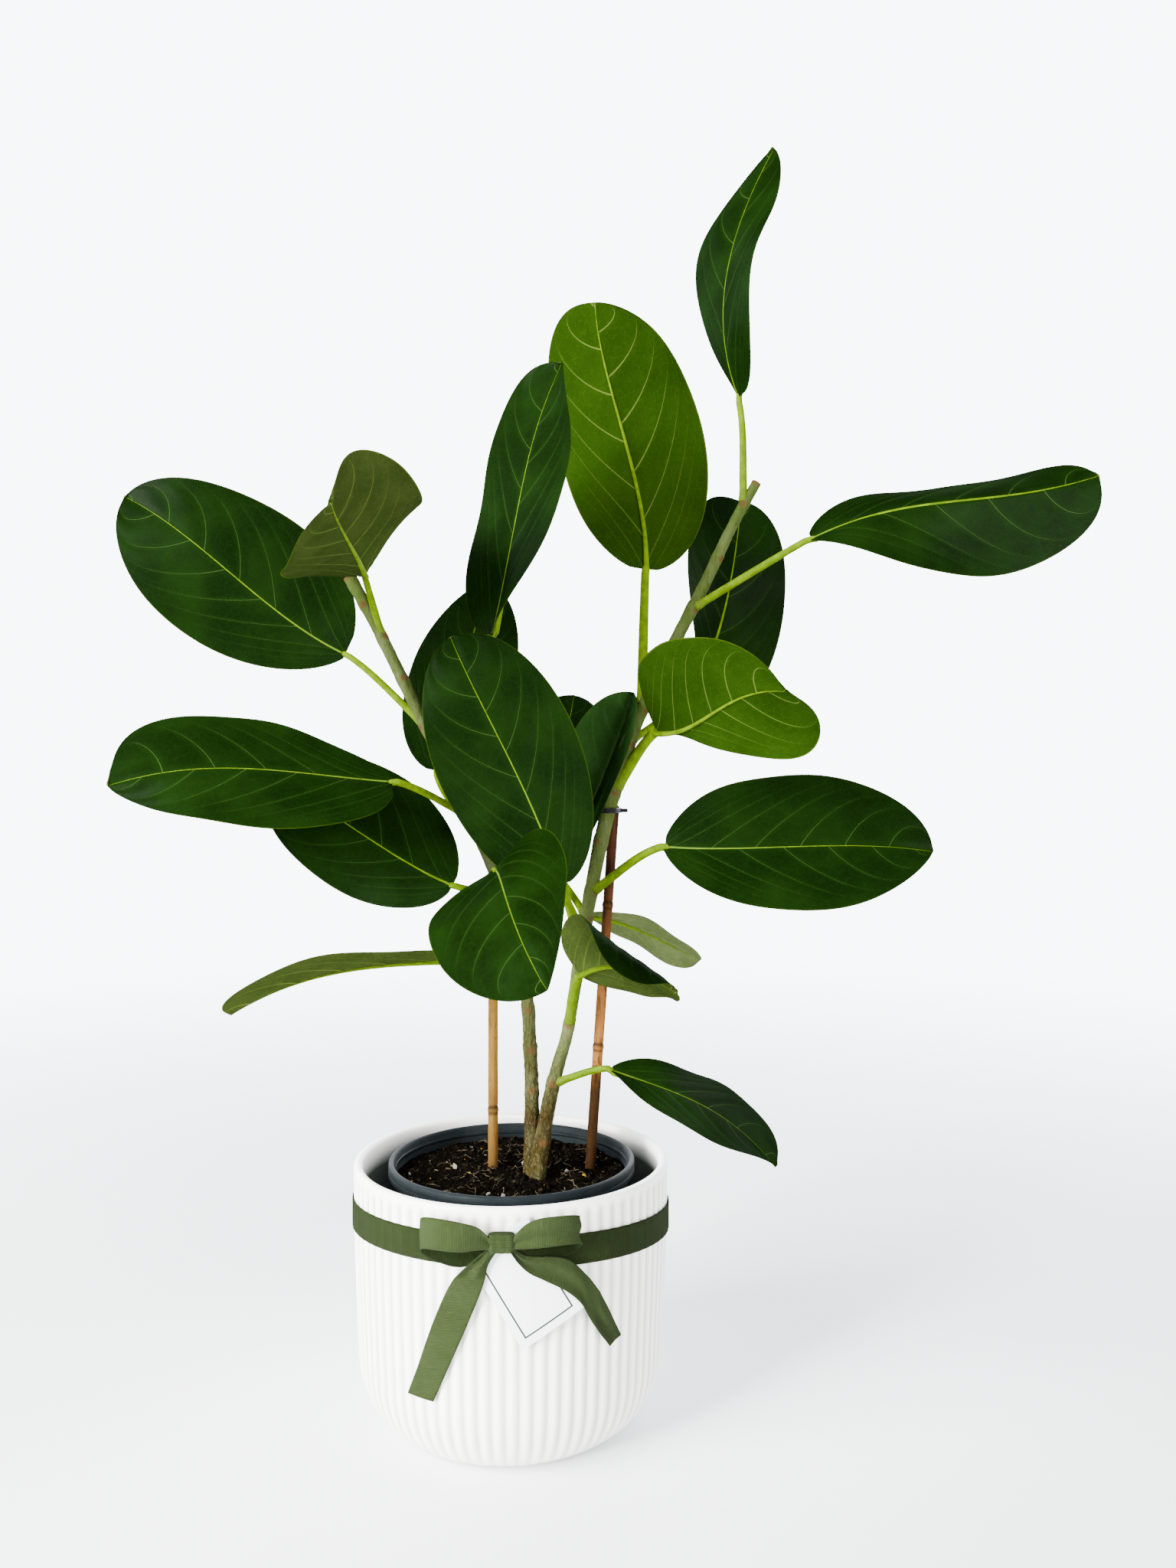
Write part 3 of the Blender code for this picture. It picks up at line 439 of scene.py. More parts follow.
@dataclass(frozen=True)
class Bamboo:
    """A split-free bamboo cane with long fibres, worn patches and dark rings at its nodes.

    Args:
        name: the material's name.
        zones: heights as shares of half a metre, and the colour at each.
        streak: the colour of its fibres.
        mottle: how strongly its worn patches show.
    """

    name: str
    zones: tuple
    streak: Colour
    mottle: float = 0.45

    def make(self) -> bpy.types.Material:
        """Build the material."""
        g = Graph(self.name)
        _, _, ring = g.own("cane")
        _, _, height = g.split(g.where())
        fibre = g.noise(g.where((1.0, 1.0, 0.03)), 1500.0, 4.0, 0.65)
        wear = g.noise(g.where((1.0, 1.0, 0.25)), 110.0, 4.0, 0.6)
        colour = g.ramp(2.0 * height + 0.06 * (wear - 0.5), *self.zones)
        speck = g.step(g.noise(g.where((1.0, 1.0, 0.4)), 420.0, 2.0), 0.62, 0.70)
        colour = g.mix(g.step(fibre, 0.45, 0.72) * 0.5, colour, self.streak)
        colour = g.mix(speck * 0.6, colour, self.streak)
        colour = g.mix(g.step(wear, 0.50, 0.66) * self.mottle, colour, self.streak)
        colour = g.mix(ring, colour, (0.016, 0.008, 0.003))
        relief = 0.6 * fibre + 0.3 * wear
        return g.finish(Base_Color=colour, Roughness=0.42 + 0.25 * wear, Normal=g.bump(relief, 0.0005),
                        Specular_IOR_Level=0.0, Coat_Weight=0.04, Coat_Roughness=0.4)


@dataclass(frozen=True)
class Ceramic:
    """Satin white glaze with a slightly uneven skin, painted shade inside and in the flutes' valleys, and a bare
    clay foot ring.

    Args:
        glaze: the outside colour.
        inside: the cool dark colour painted inside the pot as shade, reached a little below the rim.
        clay: the bare colour under the foot.
    """

    glaze: Colour = (0.890, 0.882, 0.858)
    inside: Colour = (0.050, 0.060, 0.054)
    clay: Colour = (0.560, 0.490, 0.390)

    def make(self) -> bpy.types.Material:
        """Build the material."""
        g = Graph("glazed_ceramic")
        painted_inner_shade, bare, groove = g.own("pot")
        cloud = g.noise(g.where(), 18.0, 3.0)
        skin = g.noise(g.where(), 240.0, 3.0)
        pin = g.step(g.cells(g.where(), 260.0), 0.11, 0.04)
        colour = g.mix(cloud * 0.25, self.glaze, (0.850, 0.838, 0.805))
        # Painted shade: the flutes' valleys are darkened as if in shade.
        colour = g.mix(groove * 0.8, colour, (0.400, 0.390, 0.365))
        # Painted shade: the inside darkens from the rim down, as if in shade.
        colour = g.mix(painted_inner_shade, colour, self.inside)
        colour = g.mix(pin * 0.25, colour, (0.560, 0.520, 0.450))
        colour = g.mix(bare, colour, g.mix(skin, self.clay, (0.430, 0.360, 0.270)))
        rough = g.math("MAXIMUM", 0.34 + 0.10 * cloud, bare * 0.85)
        return g.finish(Base_Color=colour, Roughness=rough, Normal=g.bump(skin - 0.6 * pin, 0.00022),
                        Specular_IOR_Level=0.0, Coat_Weight=0.7 - 0.65 * painted_inner_shade, Coat_Roughness=0.3)


@dataclass(frozen=True)
class Plastic:
    """Charcoal moulded plastic with fine scuffs and a little dust.

    Args:
        base: its colour.
        dust: the colour of what lies on it.
    """

    base: Colour = (0.0055, 0.0080, 0.0092)
    dust: Colour = (0.018, 0.019, 0.018)

    def make(self) -> bpy.types.Material:
        """Build the material."""
        g = Graph("charcoal_plastic")
        cloud = g.noise(g.where(), 40.0, 5.0, 0.65)
        grain = g.noise(g.where(), 1600.0, 2.0)
        scuff = g.step(g.noise(g.where((1.0, 1.0, 7.0)), 130.0, 6.0, 0.7), 0.60, 0.72)
        colour = g.mix(g.step(cloud, 0.45, 0.8) * 0.35, self.base, self.dust)
        colour = g.mix(scuff * 0.3, colour, (0.021, 0.023, 0.024))
        relief = 0.6 * grain - 0.3 * scuff
        return g.finish(Base_Color=colour, Roughness=0.42 + 0.2 * cloud, Normal=g.bump(relief, 0.0002),
                        Specular_IOR_Level=0.03)


@dataclass(frozen=True)
class Earth:
    """Moist potting mix, or one of the things in it.

    Args:
        name: the material's name.
        dark: its darkest colour.
        mid: its usual colour.
        pale: the colour of dry or fresh bits.
        grain: how many grains to a metre.
        rough: its roughness.
    """

    name: str
    dark: Colour
    mid: Colour
    pale: Colour
    grain: float
    rough: float = 0.85

    def make(self) -> bpy.types.Material:
        """Build the material."""
        g = Graph(self.name)
        cloud = g.noise(g.where(), self.grain, 5.0, 0.7)
        fine = g.noise(g.where(), self.grain * 6.0, 4.0, 0.6)
        fleck = g.step(g.cells(g.where(), self.grain * 2.5), 0.20, 0.08)
        colour = g.ramp(cloud, (0.30, self.dark), (0.55, self.mid), (0.80, self.pale))
        colour = g.mix(fleck * 0.35, colour, self.pale)
        return g.finish(Base_Color=colour, Roughness=self.rough - 0.2 * fine,
                        Normal=g.bump(0.6 * cloud + 0.4 * fine, 0.0016), Specular_IOR_Level=0.0)


@dataclass(frozen=True)
class Grosgrain:
    """Woven ribbon with cross ribs, read from the UV map in metres, and tight edges.

    Args:
        lit: its usual colour.
        deep: the colour between the ribs.
        painted_shade: the painted shade colour, given where the attribute "cloth" says the cloth lies in shade:
            deep inside a loop, and over the whole band.
        rib: metres from one rib to the next.
        half: half the ribbon's width in metres.
    """

    lit: Colour = (0.0205, 0.0300, 0.0105)
    deep: Colour = (0.0098, 0.0148, 0.0049)
    painted_shade: Colour = (0.0030, 0.0052, 0.0014)
    rib: float = 0.0012
    half: float = 0.011

    def make(self) -> bpy.types.Material:
        """Build the material."""
        g = Graph("grosgrain_ribbon")
        along, aside, _ = g.split(g.flat())
        slub = g.noise(g.stretch(g.flat(), (1.0, 0.25, 1.0)), 900.0, 3.0)
        cloud = g.noise(g.flat(), 34.0, 3.0)
        wave = g.math("SINE", along * (2 * math.pi / self.rib) + slub * 1.3) * 0.5 + 0.5
        yarn = g.math("SINE", aside * (2 * math.pi / 0.00028)) * 0.5 + 0.5
        edge = g.step(abs(aside), self.half - 0.0011, self.half - 0.0004)
        colour = g.mix(wave * 0.75 + 0.25 * slub, self.deep, self.lit)
        colour = g.mix(g.step(cloud, 0.4, 0.7) * 0.25, colour, (0.0240, 0.0350, 0.0135))
        colour = g.mix(edge * 0.45, colour, (0.0125, 0.0185, 0.0058))
        # Painted shade: cloth marked as lying in a loop's shade, and the band, are darkened here.
        colour = g.mix(g.own("cloth")[0] * 0.9, colour, self.painted_shade)
        height = wave * (1.0 - 0.6 * edge) + 0.18 * yarn
        return g.finish(Base_Color=colour, Roughness=0.50 + 0.12 * slub, Normal=g.bump(height, 0.00022),
                        Specular_IOR_Level=0.0, Sheen_Weight=0.02, Sheen_Roughness=0.4)


@dataclass(frozen=True)
class Card:
    """White card with paper grain and one thin printed line set in from its edges.

    Args:
        paper: the card's colour.
        ink: the line's colour.
        inset: metres from the edge to the line.
        line: half the line's width in metres.
        size: half the card's width and length in metres.
    """

    paper: Colour = (0.700, 0.715, 0.740)
    ink: Colour = (0.006, 0.006, 0.007)
    inset: float = 0.0062
    line: float = 0.00085
    size: tuple[float, float] = (0.0255, 0.039)

    def make(self) -> bpy.types.Material:
        """Build the material."""
        g = Graph("printed_card")
        across, along, _ = g.split(g.flat())
        gap_x = (self.size[0] - self.inset) - abs(across)
        gap_y = (self.size[1] - self.inset) - abs(along)
        frame_line = g.step(abs(g.math("MINIMUM", gap_x, gap_y)), self.line, self.line * 0.5)
        front, _, _ = g.own("card")
        fibre = g.noise(g.flat(), 1500.0, 5.0, 0.7)
        cloud = g.noise(g.flat(), 60.0, 3.0)
        colour = g.mix(g.step(fibre, 0.35, 0.75) * 0.12 + cloud * 0.05, self.paper, (0.620, 0.630, 0.645))
        colour = g.mix(frame_line * front, colour, self.ink)
        return g.finish(Base_Color=colour, Roughness=0.55 + 0.15 * fibre, Normal=g.bump(fibre, 0.00012),
                        Specular_IOR_Level=0.2)


@dataclass(frozen=True)
class Rubber:
    """Black soft plastic of the plant tie, with fine grooves along it.

    Args:
        base: its colour.
    """

    base: Colour = (0.005, 0.005, 0.006)

    def make(self) -> bpy.types.Material:
        """Build the material."""
        g = Graph("tie_rubber")
        groove = g.math("SINE", g.split(g.where())[2] * (2 * math.pi / 0.0009)) * 0.5 + 0.5
        dust = g.noise(g.where(), 300.0, 4.0, 0.65)
        colour = g.mix(g.step(dust, 0.5, 0.8) * 0.5, self.base, (0.020, 0.019, 0.017))
        return g.finish(Base_Color=colour, Roughness=0.45 + 0.25 * dust,
                        Normal=g.bump(groove + 0.4 * dust, 0.0002), Specular_IOR_Level=0.1)


@dataclass(frozen=True)
class Air:
    """The light from all round: a bright wall behind the plant, and dimmer air elsewhere.

    Args:
        front: the light from the front and from above.
        back: the light of the wall behind.
    """

    front: Colour = (1.00, 1.03, 1.08)
    back: Colour = (8.6, 9.0, 9.5)

    def towards(self, graph: Graph, way: Sock) -> Sock:
        """The light from a direction of length one."""
        aside, ahead, up = graph.split(way)
        wall = graph.step(ahead, 0.20, 0.62) * graph.step(up, 0.68, 0.56)
        return graph.mix(wall, self.front, self.back)

    def make(self) -> bpy.types.World:
        """Build the world."""
        g = Graph("air", "Background")
        way = g.add("ShaderNodeTexCoord", {}, "Generated")
        return g.finish(Color=self.towards(g, way), Strength=1.0)


@dataclass(frozen=True)
class StudioFloor:
    """A plain pale floor that fades into the light behind it.

    Args:
        air: the light that it fades into.
        colour: its colour.
        fade: the distances in metres between which it fades.
    """

    air: Air
    colour: Colour = (0.88, 0.90, 0.92)
    fade: tuple[float, float] = (0.35, 2.8)

    def make(self) -> bpy.types.Material:
        """Build the material."""
        g = Graph("studio_floor")
        place = g.stretch(g.where(), (1.0, 1.0, 0.0))
        far = g.step(g.add("ShaderNodeVectorMath", {0: place}, "Value", operation="LENGTH"), *self.fade)
        way = g.add("ShaderNodeVectorMath", {0: place}, operation="NORMALIZE")
        cloud = g.noise(g.where(), 3.0, 3.0)
        colour = g.mix(cloud * 0.06, self.colour, (0.82, 0.84, 0.86))
        return g.finish(Base_Color=g.mix(far, colour, (0.0, 0.0, 0.0)), Roughness=0.8,
                        Specular_IOR_Level=0.0, Emission_Strength=1.0,
                        Emission_Color=g.mix(far, (0.0, 0.0, 0.0), self.air.towards(g, way)))


# ---------------------------------------------------------------- surfaces

def unit(vectors: np.ndarray) -> np.ndarray:
    """Each row of an array at length one."""
    vectors = np.asarray(vectors, float)
    return vectors / np.linalg.norm(vectors, axis=-1, keepdims=True)


def through(points: Sequence, where: np.ndarray) -> np.ndarray:
    """Read a smooth curve through evenly spaced points.

    Each stretch is the Catmull-Rom cubic: it passes its two middle points, and its slope at each is half
    the step between that point's two neighbours.

    Args:
        points: rows of numbers.
        where: places from 0 to 1.

    Returns:
        One row for each place.
    """
    points = np.asarray(points, float)
    padded = np.vstack([2 * points[0] - points[1], points, 2 * points[-1] - points[-2]])
    steps = np.clip(np.asarray(where, float), 0, 1) * (len(points) - 1)
    index = np.minimum(steps.astype(int), len(points) - 2)
    t = (steps - index)[:, None]
    a, b, c, d = (padded[index + k] for k in range(4))
    return 0.5 * (2 * b + (c - a) * t + (2 * a - 5 * b + 4 * c - d) * t**2
                  + (3 * b - a - 3 * c + d) * t**3)


def ripple(random: np.random.Generator, places: np.ndarray, waves: int, length: float) -> np.ndarray:
    """A smooth random relief: the mean of cosine waves of about one length in random directions.

    Args:
        random: the source of the directions and phases.
        places: (..., 3) points in millimetres.
        waves: how many waves are added.
        length: the usual wave length in millimetres.

    Returns:
        Heights of about -1 to 1, one for each place.
    """
    ways = unit(random.normal(size=(waves, 3))) * 2 * math.pi / (length * random.uniform(0.6, 1.6, (waves, 1)))
    phase = random.uniform(0, 2 * math.pi, waves)
    return np.cos(places @ ways.T + phase).sum(-1) / math.sqrt(waves)


class Skin:
    """Closed surfaces as arrays: points, four- and three-cornered faces, and values at the points.

    Args:
        points: (n, 3) points in millimetres.
        quads: (m, 4) corner numbers.
        tris: (k, 3) corner numbers.
        paint: the material number of each face, quads first, or one number for all.
        values: attributes by name, each (n, 3).
        flat: (n, 2) places on the unrolled sheet in millimetres, which become the UV map.
    """

    def __init__(self, points: np.ndarray, quads: np.ndarray, tris: "np.ndarray | None" = None,
                 paint: "np.ndarray | int" = 0, values: "dict | None" = None,
                 flat: "np.ndarray | None" = None) -> None:
        self.points = np.asarray(points, float).reshape(-1, 3)
        self.quads = np.asarray(quads, int).reshape(-1, 4)
        self.tris = np.zeros((0, 3), int) if tris is None else np.asarray(tris, int).reshape(-1, 3)
        count = len(self.quads) + len(self.tris)
        self.paint = np.broadcast_to(np.asarray(paint, int), count).copy()
        self.values = values or {}
        self.flat = flat
        if self.volume() < 0:
            self.quads = self.quads[:, ::-1]
            self.tris = self.tris[:, ::-1]

    def volume(self) -> float:
        """The signed volume: each face's corners as a box product with the origin, added up."""
        q, p = self.quads, self.points
        total = 0.0
        for a, b, c in ((q[:, 0], q[:, 1], q[:, 2]), (q[:, 0], q[:, 2], q[:, 3]), tuple(self.tris.T)):
            total += np.einsum("ij,ij->", p[a], np.cross(p[b], p[c]))
        return total / 6

    def __add__(self, other: "Skin") -> "Skin":
        """Both skins as one, each keeping its own faces."""
        shift = len(self.points)
        made = Skin.__new__(Skin)
        made.points = np.vstack([self.points, other.points])
        made.quads = np.vstack([self.quads, other.quads + shift])
        made.tris = np.vstack([self.tris, other.tris + shift])
        n, m = len(self.quads), len(other.quads)
        made.paint = np.concatenate([self.paint[:n], other.paint[:m], self.paint[n:], other.paint[m:]])
        made.values = {}
        for name in {**self.values, **other.values}:
            parts = [s.values.get(name, np.zeros((len(s.points), 3))) for s in (self, other)]
            made.values[name] = np.vstack([np.asarray(part).reshape(-1, 3) for part in parts])
        flats = [np.zeros((len(s.points), 2)) if s.flat is None else np.asarray(s.flat).reshape(-1, 2)
                 for s in (self, other)]
        made.flat = np.vstack(flats)
        return made

    def build(self, name: str, finishes: Sequence[bpy.types.Material],
              sharp: float = 180.0) -> bpy.types.Object:
        """Make the object, in metres, with its UV map, attributes and materials.

        Args:
            name: the object's name.
            finishes: its materials in order.
            sharp: edges that turn more than so many degrees are left sharp.

        Returns:
            The object.
        """
        mesh = bpy.data.meshes.new(name)
        corners = np.concatenate([self.quads.ravel(), self.tris.ravel()])
        starts = np.concatenate([np.arange(len(self.quads)) * 4,
                                 4 * len(self.quads) + np.arange(len(self.tris)) * 3])
        mesh.vertices.add(len(self.points))
        mesh.vertices.foreach_set("co", (self.points * MM).ravel())
        mesh.loops.add(len(corners))
        mesh.loops.foreach_set("vertex_index", corners)
        mesh.polygons.add(len(starts))
        mesh.polygons.foreach_set("loop_start", starts)
        mesh.polygons.foreach_set("material_index", self.paint)
        mesh.update(calc_edges=True)
        for key, value in self.values.items():
            made = mesh.attributes.new(key, "FLOAT_VECTOR", "POINT")
            made.data.foreach_set("vector", np.asarray(value, float).ravel())
        if self.flat is not None:
            layer = mesh.uv_layers.new(name="flat")
            layer.uv.foreach_set("vector", (np.asarray(self.flat).reshape(-1, 2)[corners] * MM).ravel())
        for material in finishes:
            mesh.materials.append(material)
        mesh.shade_smooth()
        if sharp < 180:
            mesh.set_sharp_from_angle(angle=math.radians(sharp))
        made = bpy.data.objects.new(name, mesh)
        bpy.context.scene.collection.objects.link(made)
        return made


def ring_skin(rings: np.ndarray, paint: "np.ndarray | int" = 0, values: "dict | None" = None,
              flat: "np.ndarray | None" = None) -> Skin:
    """Join closed rings of equal size into one skin, with a fan over each end.

    Args:
        rings: (rows, sides, 3) points in millimetres.
        paint: the material number of each column of faces, or one number.
        values: attributes by name, each (rows, sides, 3).
        flat: (rows, sides, 2) places on the unrolled sheet.

    Returns:
        The closed skin.
    """
    rows, sides = rings.shape[:2]
    index = np.arange(rows * sides).reshape(rows, sides)
    turned = np.roll(index, -1, axis=1)
    quads = np.stack([index[:-1], turned[:-1], turned[1:], index[1:]], axis=-1).reshape(-1, 4)
    poles = np.array([rows * sides, rows * sides + 1])
    first = np.stack([turned[0], index[0], np.full(sides, poles[0])], axis=-1)
    last = np.stack([index[-1], turned[-1], np.full(sides, poles[1])], axis=-1)

    def capped(array: np.ndarray) -> np.ndarray:
        ends = array[[0, -1]].mean(axis=1)
        return np.vstack([array.reshape(rows * sides, -1), ends])

    face_paint = np.broadcast_to(np.asarray(paint, int), (rows - 1, sides)).ravel()
    end_paint = np.broadcast_to(np.asarray(paint, int), (2, sides)).ravel()
    return Skin(capped(rings), quads, np.vstack([first, last]), np.concatenate([face_paint, end_paint]),
                {key: capped(value) for key, value in (values or {}).items()},
                None if flat is None else capped(flat))


def tube(centres: np.ndarray, radii: np.ndarray, sides: int, face: np.ndarray) -> tuple:
    """Rings round a path: each point is its centre plus radius times (cosine side + sine up).

    Args:
        centres: (rows, 3) points.
        radii: (rows,) or (rows, sides) radii.
        sides: points in each ring.
        face: a direction that the path never follows, or one for each row.

    Returns:
        The (rows, sides, 3) rings and the (sides,) angles.
    """
    along = unit(np.gradient(centres, axis=0))
    side = unit(np.cross(along, np.broadcast_to(face, centres.shape)))
    up = np.cross(side, along)
    angle = np.arange(sides) * 2 * math.pi / sides
    ring = side[:, None] * np.cos(angle)[None, :, None] + up[:, None] * np.sin(angle)[None, :, None]
    radii = np.asarray(radii, float)
    if radii.ndim == 1:
        radii = radii[:, None]
    return centres[:, None] + ring * radii[..., None], angle


def scatter(shape: tuple, centres: np.ndarray, sizes: np.ndarray, turns: np.ndarray) -> Skin:
    """Repeat one small closed shape: every point is size times shape, turned, plus a centre.

    Args:
        shape: its (n, 3) points and (m, 3) triangles.
        centres: (count, 3) places.
        sizes: (count, 3) sizes along the shape's own axes.
        turns: (count, 3, 3) rotations.

    Returns:
        All the copies as one skin.
    """
    points, tris = shape
    count, corners = len(centres), points.shape[-2]
    placed = np.einsum("kij,knj->kni", turns, np.broadcast_to(points, (count, corners, 3)) * sizes[:, None])
    placed = placed + centres[:, None]
    faces = tris[None] + (np.arange(count) * corners)[:, None, None]
    return Skin(placed, np.zeros((0, 4), int), faces)


def random_turns(random: np.random.Generator, count: int) -> np.ndarray:
    """Random rotations, from the QR split of random matrices with the signs set so that none mirrors."""
    q, r = np.linalg.qr(random.normal(size=(count, 3, 3)))
    q = q * np.sign(np.einsum("kii->ki", r))[:, None, :]
    return q * np.sign(np.linalg.det(q))[:, None, None]


def pebble() -> tuple:
    """A regular icosahedron's 12 points at radius 1 and its 20 triangles."""
    g = (1 + math.sqrt(5)) / 2
    points = unit(np.array([(-1, g, 0), (1, g, 0), (-1, -g, 0), (1, -g, 0), (0, -1, g), (0, 1, g),
                            (0, -1, -g), (0, 1, -g), (g, 0, -1), (g, 0, 1), (-g, 0, -1), (-g, 0, 1)], float))
    tris = np.array([(0, 11, 5), (0, 5, 1), (0, 1, 7), (0, 7, 10), (0, 10, 11), (1, 5, 9), (5, 11, 4),
                     (11, 10, 2), (10, 7, 6), (7, 1, 8), (3, 9, 4), (3, 4, 2), (3, 2, 6), (3, 6, 8),
                     (3, 8, 9), (4, 9, 5), (2, 4, 11), (6, 2, 10), (8, 6, 7), (9, 8, 1)])
    return points, tris


def settle(piece: bpy.types.Object, node: "str | None") -> bpy.types.Object:
    """Tell the frame what a finished piece is.

    Args:
        piece: the object.
        node: the CAD node that it stands for, if it stands for one.

    Returns:
        The piece.
    """
    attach(piece, ROOT)
    if node is not None:
        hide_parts(node)
    log.info("%s: %d faces", piece.name, len(piece.data.polygons))
    return piece


# ---------------------------------------------------------------- pots and soil

@dataclass(frozen=True)
class Cachepot:
    """The fluted ceramic pot, turned round the z axis.

    Args:
        radius: the outer radius at the rim.
        height: its height.
        foot: the radius of the flat foot.
        shoulder: the radius and height where the rounded foot meets the wall.
        wall: the wall's thickness.
        floor: the inside floor's height.
        flutes: how many flutes there are.
        depth: how deep a flute is.
    """

    radius: float = 125.0
    height: float = 203.0
    foot: float = 78.0
    shoulder: tuple[float, float] = (121.0, 58.0)
    wall: float = 7.0
    floor: float = 10.0
    flutes: int = 75
    depth: float = 1.3

    def outside(self, z: np.ndarray) -> np.ndarray:
        """The outer radius at heights.

        Below the shoulder it is the foot's radius plus the step to the shoulder times the sine of the
        arc whose cosine is 1 - z/shoulder height. Above, it grows by a quarter sine up to the rim.
        """
        side, level = self.shoulder
        turn = np.arccos(np.clip(1 - z / level, -1, 1))
        low = self.foot + (side - self.foot) * np.sin(turn)
        rise = np.clip((z - level) / (self.height - level), 0, 1)
        return np.where(z < level, low, side + (self.radius - side) * np.sin(rise * math.pi / 2))

    def build(self) -> bpy.types.Object:
        """Make the pot.

        The outside is its radius less the flute depth times (1 - |cosine of half the flute angle|)
        to the power 0.8, faded out at the foot and under the rim. The lip is half a circle.
        """
        around = self.flutes * 12
        angle = np.arange(around) * 2 * math.pi / around
        lip = self.wall / 2
        turn = np.linspace(0, math.pi / 2, 20)
        low = self.shoulder[1] * (1 - np.cos(turn))
        high = np.linspace(self.shoulder[1], self.height - lip, 26)[1:]
        outer_z = np.concatenate([[0.0], low[1:], high])
        outer_r = self.outside(outer_z)
        bend = np.linspace(0, math.pi, 13)[1:]
        lip_r = self.radius - lip + lip * np.cos(bend)
        lip_z = self.height - lip + lip * np.sin(bend)
        inner = self.radius - self.wall
        inside = through([(inner, self.height - lip), (inner - 1, 130), (inner - 3, 70), (inner - 10, 32),
                          (inner - 24, 15), (inner - 38, self.floor), (inner - 70, self.floor),
                          (2.0, self.floor)], np.linspace(0, 1, 29))[1:]
        base_r, base_z = np.array([2.0, 60.0, 64.0, 68.0, 75.0]), np.array([1.2, 1.2, 0.2, 0.0, 0.0])
        profile_r = np.concatenate([base_r, outer_r, lip_r, inside[:, 0]])
        profile_z = np.concatenate([base_z, outer_z, lip_z, inside[:, 1]])
        outer = np.zeros(len(profile_r))
        outer[len(base_r):len(base_r) + len(outer_r)] = 1.0
        rim = self.height - profile_z
        fade = outer * np.clip(profile_z / 30, 0, 1)**0.7 * np.clip((rim - 4.5) / 4, 0, 1)
        valley = (1 - np.abs(np.cos(angle * self.flutes / 2)))**0.8
        radius = profile_r[:, None] - self.depth * fade[:, None] * valley[None, :]
        rings = np.stack([radius * np.cos(angle), radius * np.sin(angle),
                          np.broadcast_to(profile_z[:, None], radius.shape)], axis=-1)
        # Painted shade inside the pot: 0 at the rim, reaching 1 six millimetres down; the third mark feeds painted
        # shade in the flutes' valleys.
        painted_inner_shade = np.zeros(len(profile_r))
        painted_inner_shade[-len(inside):] = np.clip((self.height - inside[:, 1]) / 6, 0, 1)**0.7
        bare = np.zeros(len(profile_r))
        bare[:len(base_r)] = 1.0
        marks = np.stack([np.broadcast_to(painted_inner_shade[:, None], radius.shape),
                          np.broadcast_to(bare[:, None], radius.shape), fade[:, None] * valley], axis=-1)
        skin = ring_skin(rings, values={"pot": marks})
        return settle(skin.build("cachepot_glazed", [Ceramic().make()]), "cachepot")


@dataclass(frozen=True)
class NurseryPot:
    """The plastic pot, turned round the z axis, with a rolled rim.

    Args:
        base: the height of its underside.
        base_radius: the radius at the bottom.
        top_radius: the radius under the rim.
        rim_radius: the rim's radius.
        rim_bottom: the height under the rim.
        top: the height of the rim's top.
        wall: the wall's thickness.
    """

    base: float = 10.3
    base_radius: float = 70.0
    top_radius: float = 93.5
    rim_radius: float = 98.7
    rim_bottom: float = 190.0
    top: float = 201.5
    wall: float = 1.5

    def inside(self, z: float) -> float:
        """The inner radius at a height, a straight taper."""
        rise = (z - self.base) / (self.rim_bottom - self.base)
        return self.base_radius - self.wall + (self.top_radius - self.base_radius) * rise

    def build(self) -> bpy.types.Object:
        """Make the pot: the profile's points are smoothed and turned, its rim uneven by 0.25 mm."""
        rim, top, low = self.rim_radius, self.top, self.rim_bottom
        inner = self.inside(low)
        corner = [(1.0, self.base), (66.0, self.base), (69.2, self.base + 0.4), (70.0, self.base + 3),
                  (self.top_radius - 0.9, low - 7), (self.top_radius - 0.2, low - 1.5),
                  (self.top_radius + 1.2, low), (rim - 0.8, low + 0.4), (rim, low + 1.4), (rim, low + 4.2),
                  (rim - 0.5, low + 5.0), (rim, low + 5.8), (rim, top - 2.6), (rim - 0.6, top - 0.9),
                  (rim - 2.3, top), (rim - 3.6, top - 0.5), (rim - 4.6, top - 2.2), (inner + 0.4, low + 3),
                  (inner, low - 1), (self.inside(100), 100), (self.inside(14), 14),
                  (66.0, self.base + self.wall), (1.0, self.base + self.wall)]
        profile = through(corner, np.linspace(0, 1, 110))
        angle = np.arange(180) * 2 * math.pi / 180
        uneven = 0.25 * np.sin(3 * angle + 0.6) + 0.12 * np.sin(7 * angle)
        share = np.clip((profile[:, 1] - 150) / 50, 0, 1)
        radius = profile[:, :1] + share[:, None] * uneven[None, :] - 0.2 * share[:, None]
        rings = np.stack([radius * np.cos(angle), radius * np.sin(angle),
                          np.broadcast_to(profile[:, 1:], radius.shape)], axis=-1)
        return settle(ring_skin(rings).build("nursery_pot_plastic", [Plastic().make()]),
                      "nursery_pot")


